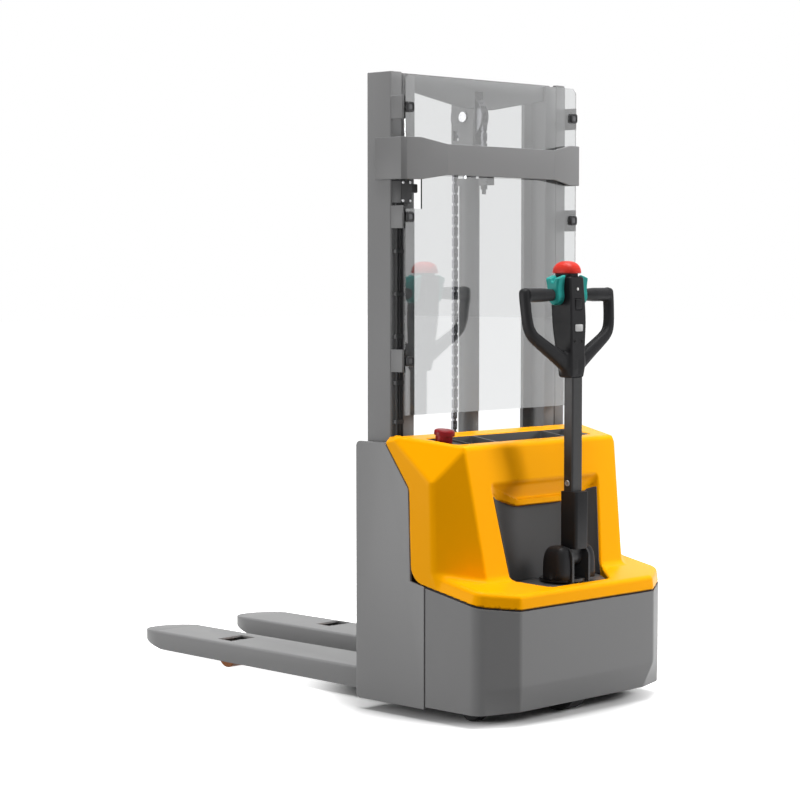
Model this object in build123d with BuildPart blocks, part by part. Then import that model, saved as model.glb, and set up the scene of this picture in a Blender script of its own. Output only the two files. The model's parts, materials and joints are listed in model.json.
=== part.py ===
from build123d import *
import os

os.makedirs("parts", exist_ok=True)

# Overall size of the truck in millimetres. X runs to the right, Y towards the fork tips, Z up from the floor.
WIDTH = 800
LENGTH = 1695
MAST_HEIGHT = 1810
REAR_OVERHANG = 419
HALF_WIDTH = WIDTH / 2
MAST_REAR_Y = REAR_OVERHANG - LENGTH / 2

# Fits, gaps and the reach of a cut that passes right through
RUNNING_FIT = 0.05
SEAT_GAP = 0.02
FLANGE_GAP = 0.4
SHADOW_GAP = 2.5
OVERCUT = 120

# Side plates. Every Y from here on is counted forwards from the rear face of the mast.
PLATE = 8
PLATE_FRONT = 115
PLATE_REAR = -155
PLATE_TOP = 768
PLATE_BOTTOM = 30
TOP_EDGE_Y = 1
SHOULDER_Y = -93
SHOULDER_Z = 643
EDGE_FOOT_Y = -101
PLATE_CORNER_R = 15
EDGE_FOOT_R = 44
SHOULDER_R = 30
SKIRT_SLOPE = 0.197
SKIRT_REAR = -REAR_OVERHANG
SKIRT_REAR_TOP = 322

# Chassis frame
BAY_HALF = HALF_WIDTH - PLATE
LEG_BOTTOM = 30
LEG_TOP = 78
MAST_DEPTH = 97
BULKHEAD_Y = (-168, -160)
BULKHEAD_HALF = 386
BULKHEAD_TOP = 366
BAY_FRONT_Y = (-28, -20)
BAY_FRONT_TOP = 600
FLOOR_Z = (45, 53)
BRIDGE_Z = (205, 230)
BRIDGE_HALF = 395
BRIDGE_CORNER_Y = -325
BRIDGE_REAR = -404
BRIDGE_REAR_HALF = 270
STEER_Y = -318
TURNTABLE_R = 62
CASTOR_X = 303
CASTOR_Y = -238
CASTOR_POST_R = 30
CASTOR_POST_BOTTOM = 102
CASTOR_STEM_R = 11
CASTOR_STEM_TOP = 198
CASTOR_STEM_GAP = 2

# Rear skirt
SKIRT_WALL = 5
SKIRT_FRONT = -160
SKIRT_BOTTOM = 37
SKIRT_CORNER_Y = -352
SKIRT_REAR_HALF = 290
SKIRT_SIDE_R = 45
SKIRT_REAR_R = 30
TUCK_TOP = 110
TUCK_CORNER_Y = -358
TUCK_REAR = -397
TUCK_REAR_HALF = 268

# Hood
HOOD_WALL = 6
HOOD_CORE = (0, -120, 560)
HOOD_BLOCK_Y = (-340, 0)
HOOD_BLOCK_Z = (300, 830)
APRON_LENGTH = 290
APRON_RISE = 41
APRON_DRAFT = 16
LIP_INSET = 7
LIP_WALL = 3
LIP_DROP = 8
LIP_RISE = 10
LIP_FRONT = -172
LIP_CLEAR_TOP = 420
TOP_REAR_Y = -222
TOP_REAR_Z = 766
TOP_FRONT_Y = -56
TOP_FRONT_Z = 787
RIM_FRONT = -48
FACE_TOP_Y = -236.7
FACE_TOP_Z = 764.2
FOOT_REAR_Y = -293.5
FOOT_Z = 405
FACET_TOP = (399.5, -181.7, 650.6)
FACET_FOOT = (399.5, -190, 417.9)
FACET_INNER = (309.2, -267.4, 570)
SHOULDER_SIDE = (399.5, -183, 659.2)
SHOULDER_FRONT = (387.6, -50, 787.8)
SHOULDER_REAR = (321.2, -236.8, 764.1)
EAR_SIDE = (399.5, -1.5, 768)
EAR_TOP = (372, -1.5, 791)
EAR_INNER = 378
EAR_CUT_X = 376
NICHE_FOOT_Z = 330
NICHE_FOOT_HALF = 198
NICHE_TOP_HALF = 228
NICHE_SHOULDER_Z = 636
NICHE_TOP_Z = 663
NICHE_CORNER = 26
NICHE_CUT_Y = (-320, -200)
NICHE_FLOOR_FRONT = -250
NICHE_FLOOR_HALF = 120
NICHE_FLOOR_REAR = -398
NICHE_FLOOR_CUT_Z = (300, 430)
SOFFIT_HALF = 222
SOFFIT_GAP = 2
SOFFIT_PROFILE = (
    (-252, 663.5),
    (-232, 604),
    (-232, 583),
    (-226, 583),
    (-226, 605),
    (-246, 664.5),
    (-244, 676),
    (-250, 676),
)
TRAY_LEFT_REAR = -320
TRAY_LEFT_FRONT = -340
TRAY_RIGHT = 268
TRAY_Y = (22, 125)
TRAY_CORNER_R = 16
TRAY_CUT = (20, 60)

# Tiller recess panel
PANEL = 4
PANEL_FLOOR_Z = 364
PANEL_LOFT_TOP = 640
PANEL_REAR_INSET = 7
PANEL_FOOT_OUTLINE = ((195.5, -335), (195.5, -293), (181, -264), (140, -236), (72, -222))
PANEL_TOP_OUTLINE = ((225, -300), (225, -254), (208, -232), (156, -214), (78, -206))
PANEL_EDGE = ((100, 581), (232, 620.5), (232, 700))
COLUMN_HOLE_R = 40

# Storage tray
TRAY_DEPTH = 62
TRAY_SHALLOW = 26
TRAY_FLOOR = 3
TRAY_SINK = 2
TRAY_GAP = 1.5
CUP_Y = (27, 120)
CUPS_X = ((-250, -150, TRAY_SHALLOW), (-140, 150, TRAY_DEPTH), (160, 250, TRAY_DEPTH))
CUP_R = 10
SEAT_OUTLINE = ((-315, 27), (-256, 27), (-256, 120), (-333, 120))
SEAT_R = 6

# Emergency stop, its heights counted from the top of the hood
E_STOP_X = -300
E_STOP_Y = 87
E_STOP_SEAT = -8
COLLAR_R = 24.5
COLLAR_TOP = 16
BARREL_R = 15.5
BARREL_HOLE_R = 16
BARREL_BOTTOM = -70
STEM_BORE_FOOT = -50
STEM_FOOT = -40
BUTTON_STEM_R = 9
BUTTON_R = 29.5
BUTTON_BOTTOM = 14
BUTTON_TOP = 30
BUTTON_EDGE_R = 6
BUTTON_HOLLOW_R = 25.5
BUTTON_HOLLOW = 8

# Support legs and load rollers
LEG_X = 200
LEG_HALF = 50
LEG_WALL = 8
LEG_FRONT = 1090
LEG_NOSE_R = 14
ROLLER_Y = 878
ROLLER_Z = 40
ROLLER_R = 40
ROLLER_HALF = 30
ROLLER_CHAMFER = 2.5
ROLLER_POCKET = 48
AXLE_R = 8
AXLE_HEAD_R = 13
AXLE_HEAD = 4

# Mast rails
OUTER_RAIL = (330, 374)
RAIL_FLANGE = 12
OUTER_WEB = 10
OUTER_RAIL_R = 6
INNER_RAIL = (281, 327)
INNER_WEB = 12
INNER_FOOT = 90
INNER_TOP = 1802
GUIDE_Y = MAST_DEPTH / 2
MAST_ROLLER_Z = 140
MAST_STUB_R = 12
MAST_STUB_END = 361

# Guide rollers
GUIDE_R = 36.2
MAST_ROLLER_X = (332, 360)
CARRIAGE_ROLLER_X = (283, 309)
CARRIAGE_STUB_R = 12
UPPER_ROLLER_Z = 425
LOWER_ROLLER_Z = 140

# Mast crossbar
CROSSBAR_Z = (1507, 1625)
CROSSBAR_MID_Z = (1521, 1608)
CROSSBAR_END_X = 390
CROSSBAR_TAPER_X = 320
CROSSBAR_MID_X = 230
CROSSBAR_OUTER = ((382, 57), (382, -48), (370, -60), (230, -85))
CROSSBAR_INNER = ((230, -77), (367, -52), (374, -45), (374, 57))

# Mast guard, its brackets and its clips
GUARD_HALF = 366
GUARD_Y = (-50, -45)
GUARD_Z = (845, 1798)
GUARD_CORNER = 14
NOTCH_X = -300
NOTCH_Z = (1425, 1515)
CLIP_X = 351
CLIP_HEIGHTS = (1708, 1402, 998)
CLIP_SHANK_R = 4
CLIP_HOLE_R = 4.2
CLIP_HALF = 14.5
CLIP_REAR = -59
CLIP_CORNER_R = 7
BRACKET_X = (369, 374)
BRACKET_HALF = 32
TAB_X = 345
TAB_Y = (-45, -41)
TAB_HALF = 16

# Lift cylinder and piston rod
CYLINDER_Y = 50
CYLINDER_R = 30
CYLINDER_TOP = 1500
CYLINDER_BORE_FOOT = 200
GLAND_R = 36
GLAND_TOP = 1520
ROD_R = 20
ROD_FOOT = 230
ROD_TOP = 1605

# Leaf chain and its anchor
PULLEY_Y = 50
PULLEY_Z = 1700
CHAIN_R = 58
CHAIN_HALF = 9.5
CHAIN_THICK = 12
CHAIN_END_GAP = 0.3
CHAIN_REAR_Y = PULLEY_Y - CHAIN_R
CHAIN_FRONT_Y = PULLEY_Y + CHAIN_R
ANCHOR_Y = (-34, -24)
ANCHOR_Z = (1535, 1600)
ANCHOR_FOOT_X = (335, 373)
LUG_HALF = 16
LUG_FRONT = -1
LUG_Z = (1500, 1535)
THREAD_R = 6
THREAD_Z = (1474, 1500)
NUT_R = 9
NUT_Z = (1488, 1500)

# Inner mast crossmembers
CROSSHEAD_Y = (RAIL_FLANGE, 24)
CROSSHEAD_HALF = INNER_RAIL[1] - INNER_WEB
CROSSHEAD_TOP = 1808
CROSSHEAD_END_Z = 1765
CROSSHEAD_MID_Z = 1722
CROSSHEAD_MID_X = 60
CHAIN_SLOT_Z = (1700, 1772)
CHEEK_X = (17, 25)
CHEEK_FRONT = 100
CHEEK_Z = (1605, 1780)
CHEEK_WINDOW_Y = (72, 92)
CHEEK_WINDOW_Z = (1632, 1660)
ROD_SEAT_FRONT = 80
ROD_SEAT = 15
TIE_Y = (-14, 0)
TIE_Z = (92, 152)

# Chain pulley and its axle
GROOVE_R = 51.5
GROOVE_HALF = 10.5
PULLEY_FLANGE_R = 62
PULLEY_HALF = 15
PULLEY_PIN_R = 10
PIN_HEAD_R = 15
PIN_HEAD = 6

# Fork carriage
BAR_Y = (105, 125)
UPPER_BAR_Z = (400, 460)
LOWER_BAR_Z = (110, 170)
FORK_X = (105, 285)
BRACKET_PLATE_X = (262, 277)
BRACKET_PLATE_REAR = 15
BRACKET_PLATE_Z = (100, 470)
CARRIAGE_STUB_END = 310
CHAIN_LUG_HALF = 14
CHAIN_LUG_REAR = 99
CHAIN_LUG_Z = (440, 460)

# Forks
FORK_TOP = 91
FORK_SKIN = 6
FORK_EDGE_R = 8
FORK_HEEL_BOTTOM = 27
FORK_NOSE_BOTTOM = 33
FORK_BODY_END = 1138
NOSE_START = 1156
FORK_TIP = LENGTH - REAR_OVERHANG
TIP_BOTTOM = 63
NOSE_DROP = 8
FORK_BACK_Y = (125, 140)
FORK_BACK_TOP = 470
HEEL_CLEAR_Z = (20, 84)
WINDOW_Y = (832, 898)
WINDOW_X = {"left": (-250, -149), "right": (175, 274)}
WINDOW_CUT = 10

# Height switch and mast cables
SWITCH_X = (-372, -330)
SWITCH_Y = (-40, 0)
SWITCH_Z = (1440, 1505)
LEVER_END = -300
LEVER_Y = (-34, -22)
LEVER_Z = (1470, 1495)
CABLE_X = (-362, -352, -342)
CABLE_R = 4
CABLE_Y = -12
CABLE_BEND_Z = 745
CABLE_BEND_R = 24
CABLE_ENTRY_Y = -76
CABLE_ENTRY_Z = 690

# Battery, motor controller and pump unit
BAY_Y = (-158, -32)
BATTERY_X = (-250, 150)
BATTERY_TOP = 600
BATTERY_EDGE_R = 8
CONTROLLER_X = (-370, -262)
CONTROLLER_Y = (-150, BAY_FRONT_Y[0])
CONTROLLER_Z = (480, 640)
TANK_X = (190, 385)
TANK_TOP = 190
PUMP_X = 287
PUMP_Y = -95
PUMP_R = 55
PUMP_TOP = 330

# Drive unit
WHEEL_R = 75
WHEEL_HALF = 30
HUB_R = 52
HUB_HALF = 28
TYRE_EDGE_R = 5
SHAFT_R = 15
SHAFT_LENGTH = 68
LIP_R = 72
GEARBOX_BOTTOM = 190
GEARBOX_TOP = 238
GEAR_LEG_X = (33, 66)
GEAR_LEG_HALF = 32
GEAR_LEG_Z = (40, 195)
GEAR_LEG_R = 30
MOTOR_R = 65
MOTOR_TOP = 335
BRAKE_R = 45
BRAKE_TOP = 352

# Tiller base and its covers
COLUMN_R = 30
BASE_Z = 372
BASE_DISC_R = 66
BASE_DISC_TOP = 380
BASE_CHEEK_X = (31, 39)
BASE_CHEEK_Y = (-388, -300)
BASE_CHEEK_TOP = 470
BASE_CHEEK_R = 28
TILT_Y = -345
TILT_Z = 440
TILT_PIN_R = 8
COVER_X = (40, 80)
COVER_Y = (-384, -300)
COVER_Z = (380, 475)
COVER_EAVES_Z = 430
COVER_SLOPE = 28
COVER_EDGE_R = 16
COVER_WALL = 3
COVER_FACE = 14

# Tiller arm and the cover of its foot
ARM_HALF = 22
ARM_Y = (-372, -338)
ARM_EDGE_R = 5
ARM_SHOULDER_Z = 628
ARM_TOP = 950
SPINE_HALF = 18
SPINE_Y = (-366, -346)
SPINE_FOOT = 466
FOOT_PIVOT_R = 24
FOOT_WIDTH_HALF = 22
SLEEVE_HALF = 26.5
SLEEVE_Y = (-391, -330)
SLEEVE_EDGE_R = 8

# Tiller head
HEAD_HALF = 31
HEAD_TOP = 1235
HEAD_EDGE_R = 4
HEAD_PROFILE = (
    (-372, ARM_TOP),
    (-324, ARM_TOP),
    (-312, 1020),
    (-298.5, 1120),
    (-293.5, HEAD_TOP),
    (-367, HEAD_TOP),
    (-376, 1120),
)
GRIP_Y = -331
GRIP_Z = 1183
NECK_HALF = 20
NECK_Y = (-354, -304)
NECK_FOOT = 1228
NECK_TOP = 1262
ROCKER_Y = -364
ROCKER_Z = 1157
ROCKER_HALF = (13, 15)
ROCKER_DEPTH = (-11, 4)
ROCKER_EDGE_R = 4
ROCKER_GAP = 2
ROCKER_POCKET_Y = (-394, -356)

# Grip loops
LOOP_R = 16.5
LOOP_FOOT_Y = -350
LOOP_FOOT_Z = 971
GRIP_X = (68, 178)
LOOP_CORNER_X = 174
LOOP_CORNER_DROP = 105
LOOP_END_X = 10
LOOP_END_DROP = 206
LOOP_BENDS = (26, 44)
STUB_R = 8

# Travel butterfly
BUTTERFLY_X = (32, 66)
BUTTERFLY_EDGE_R = 5
BUTTERFLY_PROFILE = (
    (-357, 1238),
    (-345, 1238),
    (-333, 1217),
    (-320, 1237),
    (-308, 1235),
    (-314, 1197),
    (-318, 1173),
    (-331, 1159),
    (-347, 1162),
    (-353, 1190),
)

# Belly button
CAP_HALF = 31
CAP_Y = (-368, -291)
CAP_Z = (1240, 1279)
CAP_HOLLOW_TOP = 1268
CAP_CORNER_R = 14
CAP_EDGE_R = 10
CAP_SLACK = 1

# Castors
CASTOR_TRAIL = 20
CASTOR_R = 40
CASTOR_HALF = 18
CASTOR_EDGE_R = 6
CASTOR_AXLE_R = 5
YOKE_X = (20, 26)
YOKE_Y = (-40, 24)
YOKE_Z = (92, 100)
YOKE_FOOT_HALF = 13

SIDES = (("left", -1), ("right", 1))
ALONG_X = (1, 0, 0)
ALONG_Y = (0, 1, 0)
ALONG_Z = (0, 0, 1)


def ahead(distance):
    """The Y of a point that lies this far in front of the mast's rear face, or behind it if negative."""
    return MAST_REAR_Y + distance


def keep(builder, name):
    """Label a finished piece and write it under its own name."""
    builder.part.label = name
    export_step(builder.part, f"parts/{name}.step")


def block(x, y, z, mode=Mode.ADD):
    """A box between two limits on each axis, its Y limits counted from the mast's rear face."""
    with Locations(((x[0] + x[1]) / 2, ahead((y[0] + y[1]) / 2), (z[0] + z[1]) / 2)):
        Box(abs(x[1] - x[0]), abs(y[1] - y[0]), abs(z[1] - z[0]), mode=mode)


def bar(x, y, z, axis, radius, length, mode=Mode.ADD):
    """A round bar about its centre point, along an axis, its Y counted from the mast's rear face."""
    with Locations(Plane(origin=(x, ahead(y), z), z_dir=axis)):
        Cylinder(radius, length, mode=mode)


def post(x, y, z, radius, mode=Mode.ADD):
    """An upright round bar between two heights."""
    bar(x, y, (z[0] + z[1]) / 2, ALONG_Z, radius, z[1] - z[0], mode=mode)


def side_slab(points, x, amount):
    """A plate drawn from the side in pairs of Y and Z, starting at this X and as thick as the amount."""
    with BuildPart() as plate:
        with BuildSketch(Plane.YZ.offset(x)):
            with BuildLine():
                Polyline(*[(ahead(y), z) for y, z in points], close=True)
            make_face()
        extrude(amount=amount)
    return plate.part


def rear_slab(points, rear, front):
    """A plate drawn from behind in pairs of X and Z, between two Y limits."""
    with BuildPart() as plate:
        with BuildSketch(Plane.XZ.offset(-ahead(front))):
            with BuildLine():
                Polyline(*points, close=True)
            make_face()
        extrude(amount=front - rear)
    return plate.part


def plan_slab(points, bottom, top):
    """A plate drawn from above in pairs of X and Y, between two heights."""
    with BuildPart() as plate:
        with BuildSketch(Plane.XY.offset(bottom)):
            with BuildLine():
                Polyline(*[(x, ahead(y)) for x, y in points], close=True)
            make_face()
        extrude(amount=top - bottom)
    return plate.part


def both_sides(points):
    """A closed outline from one side's points: the right side in turn, then the left side back again."""
    return (*points, *[(-x, other) for x, other in reversed(points)])


def skirt_height(distance):
    """Height of the sloping line between skirt and hood, this far ahead of the mast's rear face."""
    return SKIRT_REAR_TOP + SKIRT_SLOPE * (distance - SKIRT_REAR)


# Side plates: thick steel, with the edge that the hood sits against
def plate_outline():
    """Outline of a side plate with its rounded corners, drawn in the sketch that calls this."""
    edge_foot_point = (ahead(EDGE_FOOT_Y), skirt_height(EDGE_FOOT_Y))
    shoulder_point = (ahead(SHOULDER_Y), SHOULDER_Z)
    with BuildLine() as edge:
        Polyline(
            (ahead(PLATE_FRONT), PLATE_BOTTOM),
            (ahead(PLATE_FRONT), PLATE_TOP),
            (ahead(TOP_EDGE_Y), PLATE_TOP),
            shoulder_point,
            edge_foot_point,
            (ahead(PLATE_REAR), skirt_height(PLATE_REAR)),
            (ahead(PLATE_REAR), PLATE_BOTTOM),
            close=True,
        )
    outline = make_face(edge.edges())
    front_corners = outline.vertices().sort_by(Axis.X)[-2:]
    edge_foot = outline.vertices().sort_by_distance(edge_foot_point)[0]
    shoulder = outline.vertices().sort_by_distance(shoulder_point)[0]
    fillet(front_corners, radius=PLATE_CORNER_R)
    fillet(edge_foot, radius=EDGE_FOOT_R)
    fillet(shoulder, radius=SHOULDER_R)


for side, sign in SIDES:
    with BuildPart() as side_plate:
        with BuildSketch(Plane.YZ.offset(sign * HALF_WIDTH)):
            plate_outline()
        extrude(amount=-sign * PLATE)
    keep(side_plate, f"{side}_side_plate")

# Chassis frame: foot beam under the mast, battery floor, bay walls, bridge plate and castor posts
bridge_outline = both_sides(
    (
        (BRIDGE_HALF, BULKHEAD_Y[0]),
        (BRIDGE_HALF, BRIDGE_CORNER_Y),
        (BRIDGE_REAR_HALF, BRIDGE_REAR),
    )
)

with BuildPart() as chassis_frame:
    block((-BAY_HALF, BAY_HALF), (0, MAST_DEPTH), (LEG_BOTTOM, LEG_TOP))
    block((-BAY_HALF, BAY_HALF), (BULKHEAD_Y[0], 0), FLOOR_Z)
    block((-BULKHEAD_HALF, BULKHEAD_HALF), BULKHEAD_Y, (FLOOR_Z[0], BULKHEAD_TOP))
    block((-BAY_HALF, BAY_HALF), BAY_FRONT_Y, (FLOOR_Z[0], BAY_FRONT_TOP))
    add(plan_slab(bridge_outline, *BRIDGE_Z))
    for sign in (-1, 1):
        post(sign * CASTOR_X, CASTOR_Y, (CASTOR_POST_BOTTOM, BRIDGE_Z[1]), CASTOR_POST_R)
        stem_bore = (CASTOR_POST_BOTTOM, CASTOR_STEM_TOP + CASTOR_STEM_GAP)
        post(sign * CASTOR_X, CASTOR_Y, stem_bore, CASTOR_STEM_R + RUNNING_FIT, mode=Mode.SUBTRACT)
    bar(0, STEER_Y, BRIDGE_Z[0], ALONG_Z, TURNTABLE_R + RUNNING_FIT, OVERCUT, mode=Mode.SUBTRACT)
keep(chassis_frame, "chassis_frame")

# Rear skirt: a folded grey shroud round the drive, tucked in at the foot of its rear face
skirt_plane = Plane(origin=(0, ahead(SKIRT_REAR), SKIRT_REAR_TOP), x_dir=ALONG_X, z_dir=(0, -SKIRT_SLOPE, 1))


def shroud_outline(front, corner, rear_half, rear, inset):
    """Outline of the skirt in the calling sketch's own coordinates, moved inwards by the inset."""
    with BuildLine() as edge:
        Polyline(
            (-HALF_WIDTH, front),
            (-HALF_WIDTH, corner),
            (-rear_half, rear),
            (rear_half, rear),
            (HALF_WIDTH, corner),
            (HALF_WIDTH, front),
            close=True,
        )
    shroud = make_face(edge.edges())
    corners = shroud.vertices().sort_by(Axis.Y)
    fillet(corners[2:4], radius=SKIRT_SIDE_R)
    fillet(corners[:2], radius=SKIRT_REAR_R)
    if inset > 0:
        offset(amount=-inset, mode=Mode.REPLACE)


def skirt_form(inset):
    """The skirt as a solid, moved inwards by the inset: a tucked foot under an upright wall."""
    with BuildPart() as form:
        with BuildSketch(Plane.XY.offset(SKIRT_BOTTOM)):
            shroud_outline(ahead(0), ahead(TUCK_CORNER_Y), TUCK_REAR_HALF, ahead(TUCK_REAR), inset)
        with BuildSketch(Plane.XY.offset(TUCK_TOP)):
            shroud_outline(ahead(0), ahead(SKIRT_CORNER_Y), SKIRT_REAR_HALF, ahead(SKIRT_REAR), inset)
        loft(ruled=True)
        with BuildSketch(Plane.XY.offset(TUCK_TOP)):
            shroud_outline(ahead(0), ahead(SKIRT_CORNER_Y), SKIRT_REAR_HALF, ahead(SKIRT_REAR), inset)
        extrude(amount=HALF_WIDTH)
        split(bisect_by=skirt_plane.offset(-SHADOW_GAP), keep=Keep.BOTTOM)
    return form.part


with BuildPart() as rear_skirt:
    add(skirt_form(0))
    add(skirt_form(SKIRT_WALL), mode=Mode.SUBTRACT)
    block((-WIDTH, WIDTH), (SKIRT_FRONT, OVERCUT), (0, WIDTH), mode=Mode.SUBTRACT)
keep(rear_skirt, "rear_skirt")

# Hood: one yellow moulding, a low apron round a tower that leans back, both hollow
top_slope = (TOP_FRONT_Z - TOP_REAR_Z) / (TOP_FRONT_Y - TOP_REAR_Y)
top_plane = Plane(origin=(0, ahead(TOP_REAR_Y), TOP_REAR_Z), x_dir=ALONG_X, z_dir=(0, -top_slope, 1))
slope_stretch = (1 + SKIRT_SLOPE**2) ** 0.5
apron_corner = (SKIRT_CORNER_Y - SKIRT_REAR) * slope_stretch


def outward_plane(first, second, third, sign, inset):
    """Plane through three points of one side, facing out from the hood and moved inwards by the inset."""
    a, b, c = [Vector(sign * x, ahead(y), z) for x, y, z in (first, second, third)]
    normal = (b - a).cross(c - a).normalized()
    if normal.dot(a - Vector(HOOD_CORE[0], ahead(HOOD_CORE[1]), HOOD_CORE[2])) < 0:
        normal = normal * -1
    return Plane(origin=a - normal * inset, z_dir=normal)


def rear_plane(inset):
    """Plane of the tower's leaning rear face, moved inwards by the inset."""
    foot = (0, FOOT_REAR_Y, FOOT_Z)
    foot_side = (HALF_WIDTH, FOOT_REAR_Y, FOOT_Z)
    return outward_plane(foot, foot_side, (0, FACE_TOP_Y, FACE_TOP_Z), 1, inset)


def hood_form(inset):
    """The hood as a solid, drawn in from its outer surface by the inset."""
    half = HALF_WIDTH - inset
    with BuildPart() as form:
        block((-half, half), HOOD_BLOCK_Y, HOOD_BLOCK_Z)
        split(bisect_by=top_plane.offset(-inset), keep=Keep.BOTTOM)
        split(bisect_by=rear_plane(inset), keep=Keep.BOTTOM)
        for sign in (-1, 1):
            split(bisect_by=outward_plane(FACET_TOP, FACET_FOOT, FACET_INNER, sign, inset), keep=Keep.BOTTOM)
            shoulder = outward_plane(SHOULDER_SIDE, SHOULDER_FRONT, SHOULDER_REAR, sign, inset)
            split(bisect_by=shoulder, keep=Keep.BOTTOM)
            split(bisect_by=outward_plane(EAR_SIDE, EAR_TOP, SHOULDER_FRONT, sign, inset), keep=Keep.BOTTOM)
        with BuildSketch(skirt_plane):
            shroud_outline(APRON_LENGTH, apron_corner, SKIRT_REAR_HALF, 0, inset)
        extrude(amount=APRON_RISE - inset, taper=APRON_DRAFT)
        split(bisect_by=skirt_plane.offset(SHADOW_GAP), keep=Keep.TOP)
    return form.part


def tray_outline():
    """Outline of the tray's opening on the hood's top, drawn in the sketch that calls this."""
    with BuildLine() as edge:
        Polyline(
            (TRAY_LEFT_REAR, TRAY_Y[0]),
            (TRAY_RIGHT, TRAY_Y[0]),
            (TRAY_RIGHT, TRAY_Y[1]),
            (TRAY_LEFT_FRONT, TRAY_Y[1]),
            close=True,
        )
    opening = make_face(edge.edges())
    fillet(opening.vertices(), radius=TRAY_CORNER_R)


niche_opening = both_sides(
    (
        (NICHE_FOOT_HALF, NICHE_FOOT_Z),
        (NICHE_FOOT_HALF, FOOT_Z),
        (NICHE_TOP_HALF, NICHE_SHOULDER_Z),
        (NICHE_TOP_HALF - NICHE_CORNER, NICHE_TOP_Z),
    )
)
niche_floor = both_sides(
    (
        (NICHE_FOOT_HALF, NICHE_FLOOR_FRONT),
        (NICHE_FOOT_HALF, FOOT_REAR_Y),
        (NICHE_FLOOR_HALF, NICHE_FLOOR_REAR),
    )
)
soffit_edge = [(x, z + SOFFIT_GAP) for x, z in PANEL_EDGE]

# The soffit under the rear face, ended above the recess panel
with BuildPart() as soffit:
    add(side_slab(SOFFIT_PROFILE, -SOFFIT_HALF, 2 * SOFFIT_HALF))
    add(rear_slab(both_sides(soffit_edge), *HOOD_BLOCK_Y), mode=Mode.INTERSECT)

with BuildPart() as hood:
    add(hood_form(0))
    add(hood_form(HOOD_WALL), mode=Mode.SUBTRACT)
    # Lip that hangs down inside the skirt and closes the gap under the apron
    with BuildSketch(skirt_plane.offset(-LIP_DROP)):
        shroud_outline(APRON_LENGTH, apron_corner, SKIRT_REAR_HALF, 0, LIP_INSET)
        offset(amount=-LIP_WALL, mode=Mode.SUBTRACT)
    extrude(amount=LIP_DROP + LIP_RISE)
    block((-EAR_INNER, EAR_INNER), (LIP_FRONT, OVERCUT), (HOOD_BLOCK_Z[0], LIP_CLEAR_TOP), mode=Mode.SUBTRACT)
    # Open towards the mast, with an ear at each side that fills the corner above the side plate
    block((-EAR_INNER, EAR_INNER), (RIM_FRONT, OVERCUT), HOOD_BLOCK_Z, mode=Mode.SUBTRACT)
    for sign in (-1, 1):
        with BuildSketch(Plane.YZ.offset(sign * EAR_CUT_X)):
            plate_outline()
            offset(amount=SHADOW_GAP, mode=Mode.REPLACE)
        extrude(amount=sign * OVERCUT, mode=Mode.SUBTRACT)
        ear_front = (TOP_EDGE_Y - SHADOW_GAP, OVERCUT)
        block((sign * EAR_CUT_X, sign * WIDTH), ear_front, (SHOULDER_Z, HOOD_BLOCK_Z[1]), mode=Mode.SUBTRACT)
    # Opening for the tiller recess, in the rear face and on through the apron
    add(rear_slab(niche_opening, *NICHE_CUT_Y), mode=Mode.SUBTRACT)
    add(plan_slab(niche_floor, *NICHE_FLOOR_CUT_Z), mode=Mode.SUBTRACT)
    # Sloping soffit under the rear face
    add(soffit.part)
    # Opening for the tray in the top
    with BuildSketch(top_plane.offset(TRAY_CUT[0])):
        tray_outline()
    extrude(amount=-TRAY_CUT[1], mode=Mode.SUBTRACT)
keep(hood, "hood")

# Tiller recess panel: dark insert with a floor and a wall that bends round behind the tiller
panel_floor = both_sides(
    (
        (PANEL_FOOT_OUTLINE[0][0], PANEL_FOOT_OUTLINE[-1][1]),
        (PANEL_FOOT_OUTLINE[0][0], FOOT_REAR_Y),
        (NICHE_FLOOR_HALF - SHADOW_GAP, NICHE_FLOOR_REAR + SHADOW_GAP),
    )
)


def recess_form(inset):
    """The room behind the tiller as a solid, wider above than at its foot, moved inwards by the inset."""
    with BuildPart() as form:
        for outline, height in ((PANEL_FOOT_OUTLINE, PANEL_FLOOR_Z), (PANEL_TOP_OUTLINE, PANEL_LOFT_TOP)):
            with BuildSketch(Plane.XY.offset(height)):
                with BuildLine():
                    Polyline(*[(x, ahead(y)) for x, y in both_sides(outline)], close=True)
                make_face()
                if inset > 0:
                    offset(amount=-inset, kind=Kind.INTERSECTION, mode=Mode.REPLACE)
        loft(ruled=True)
    return form.part


with BuildPart() as tiller_recess_panel:
    add(recess_form(0))
    add(recess_form(PANEL), mode=Mode.SUBTRACT)
    split(bisect_by=rear_plane(PANEL_REAR_INSET), keep=Keep.BOTTOM)
    add(rear_slab(both_sides(PANEL_EDGE), *HOOD_BLOCK_Y), mode=Mode.SUBTRACT)
    add(plan_slab(panel_floor, PANEL_FLOOR_Z, PANEL_FLOOR_Z + PANEL))
    bar(0, STEER_Y, PANEL_FLOOR_Z, ALONG_Z, COLUMN_HOLE_R, OVERCUT, mode=Mode.SUBTRACT)
keep(tiller_recess_panel, "tiller_recess_panel")

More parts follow.
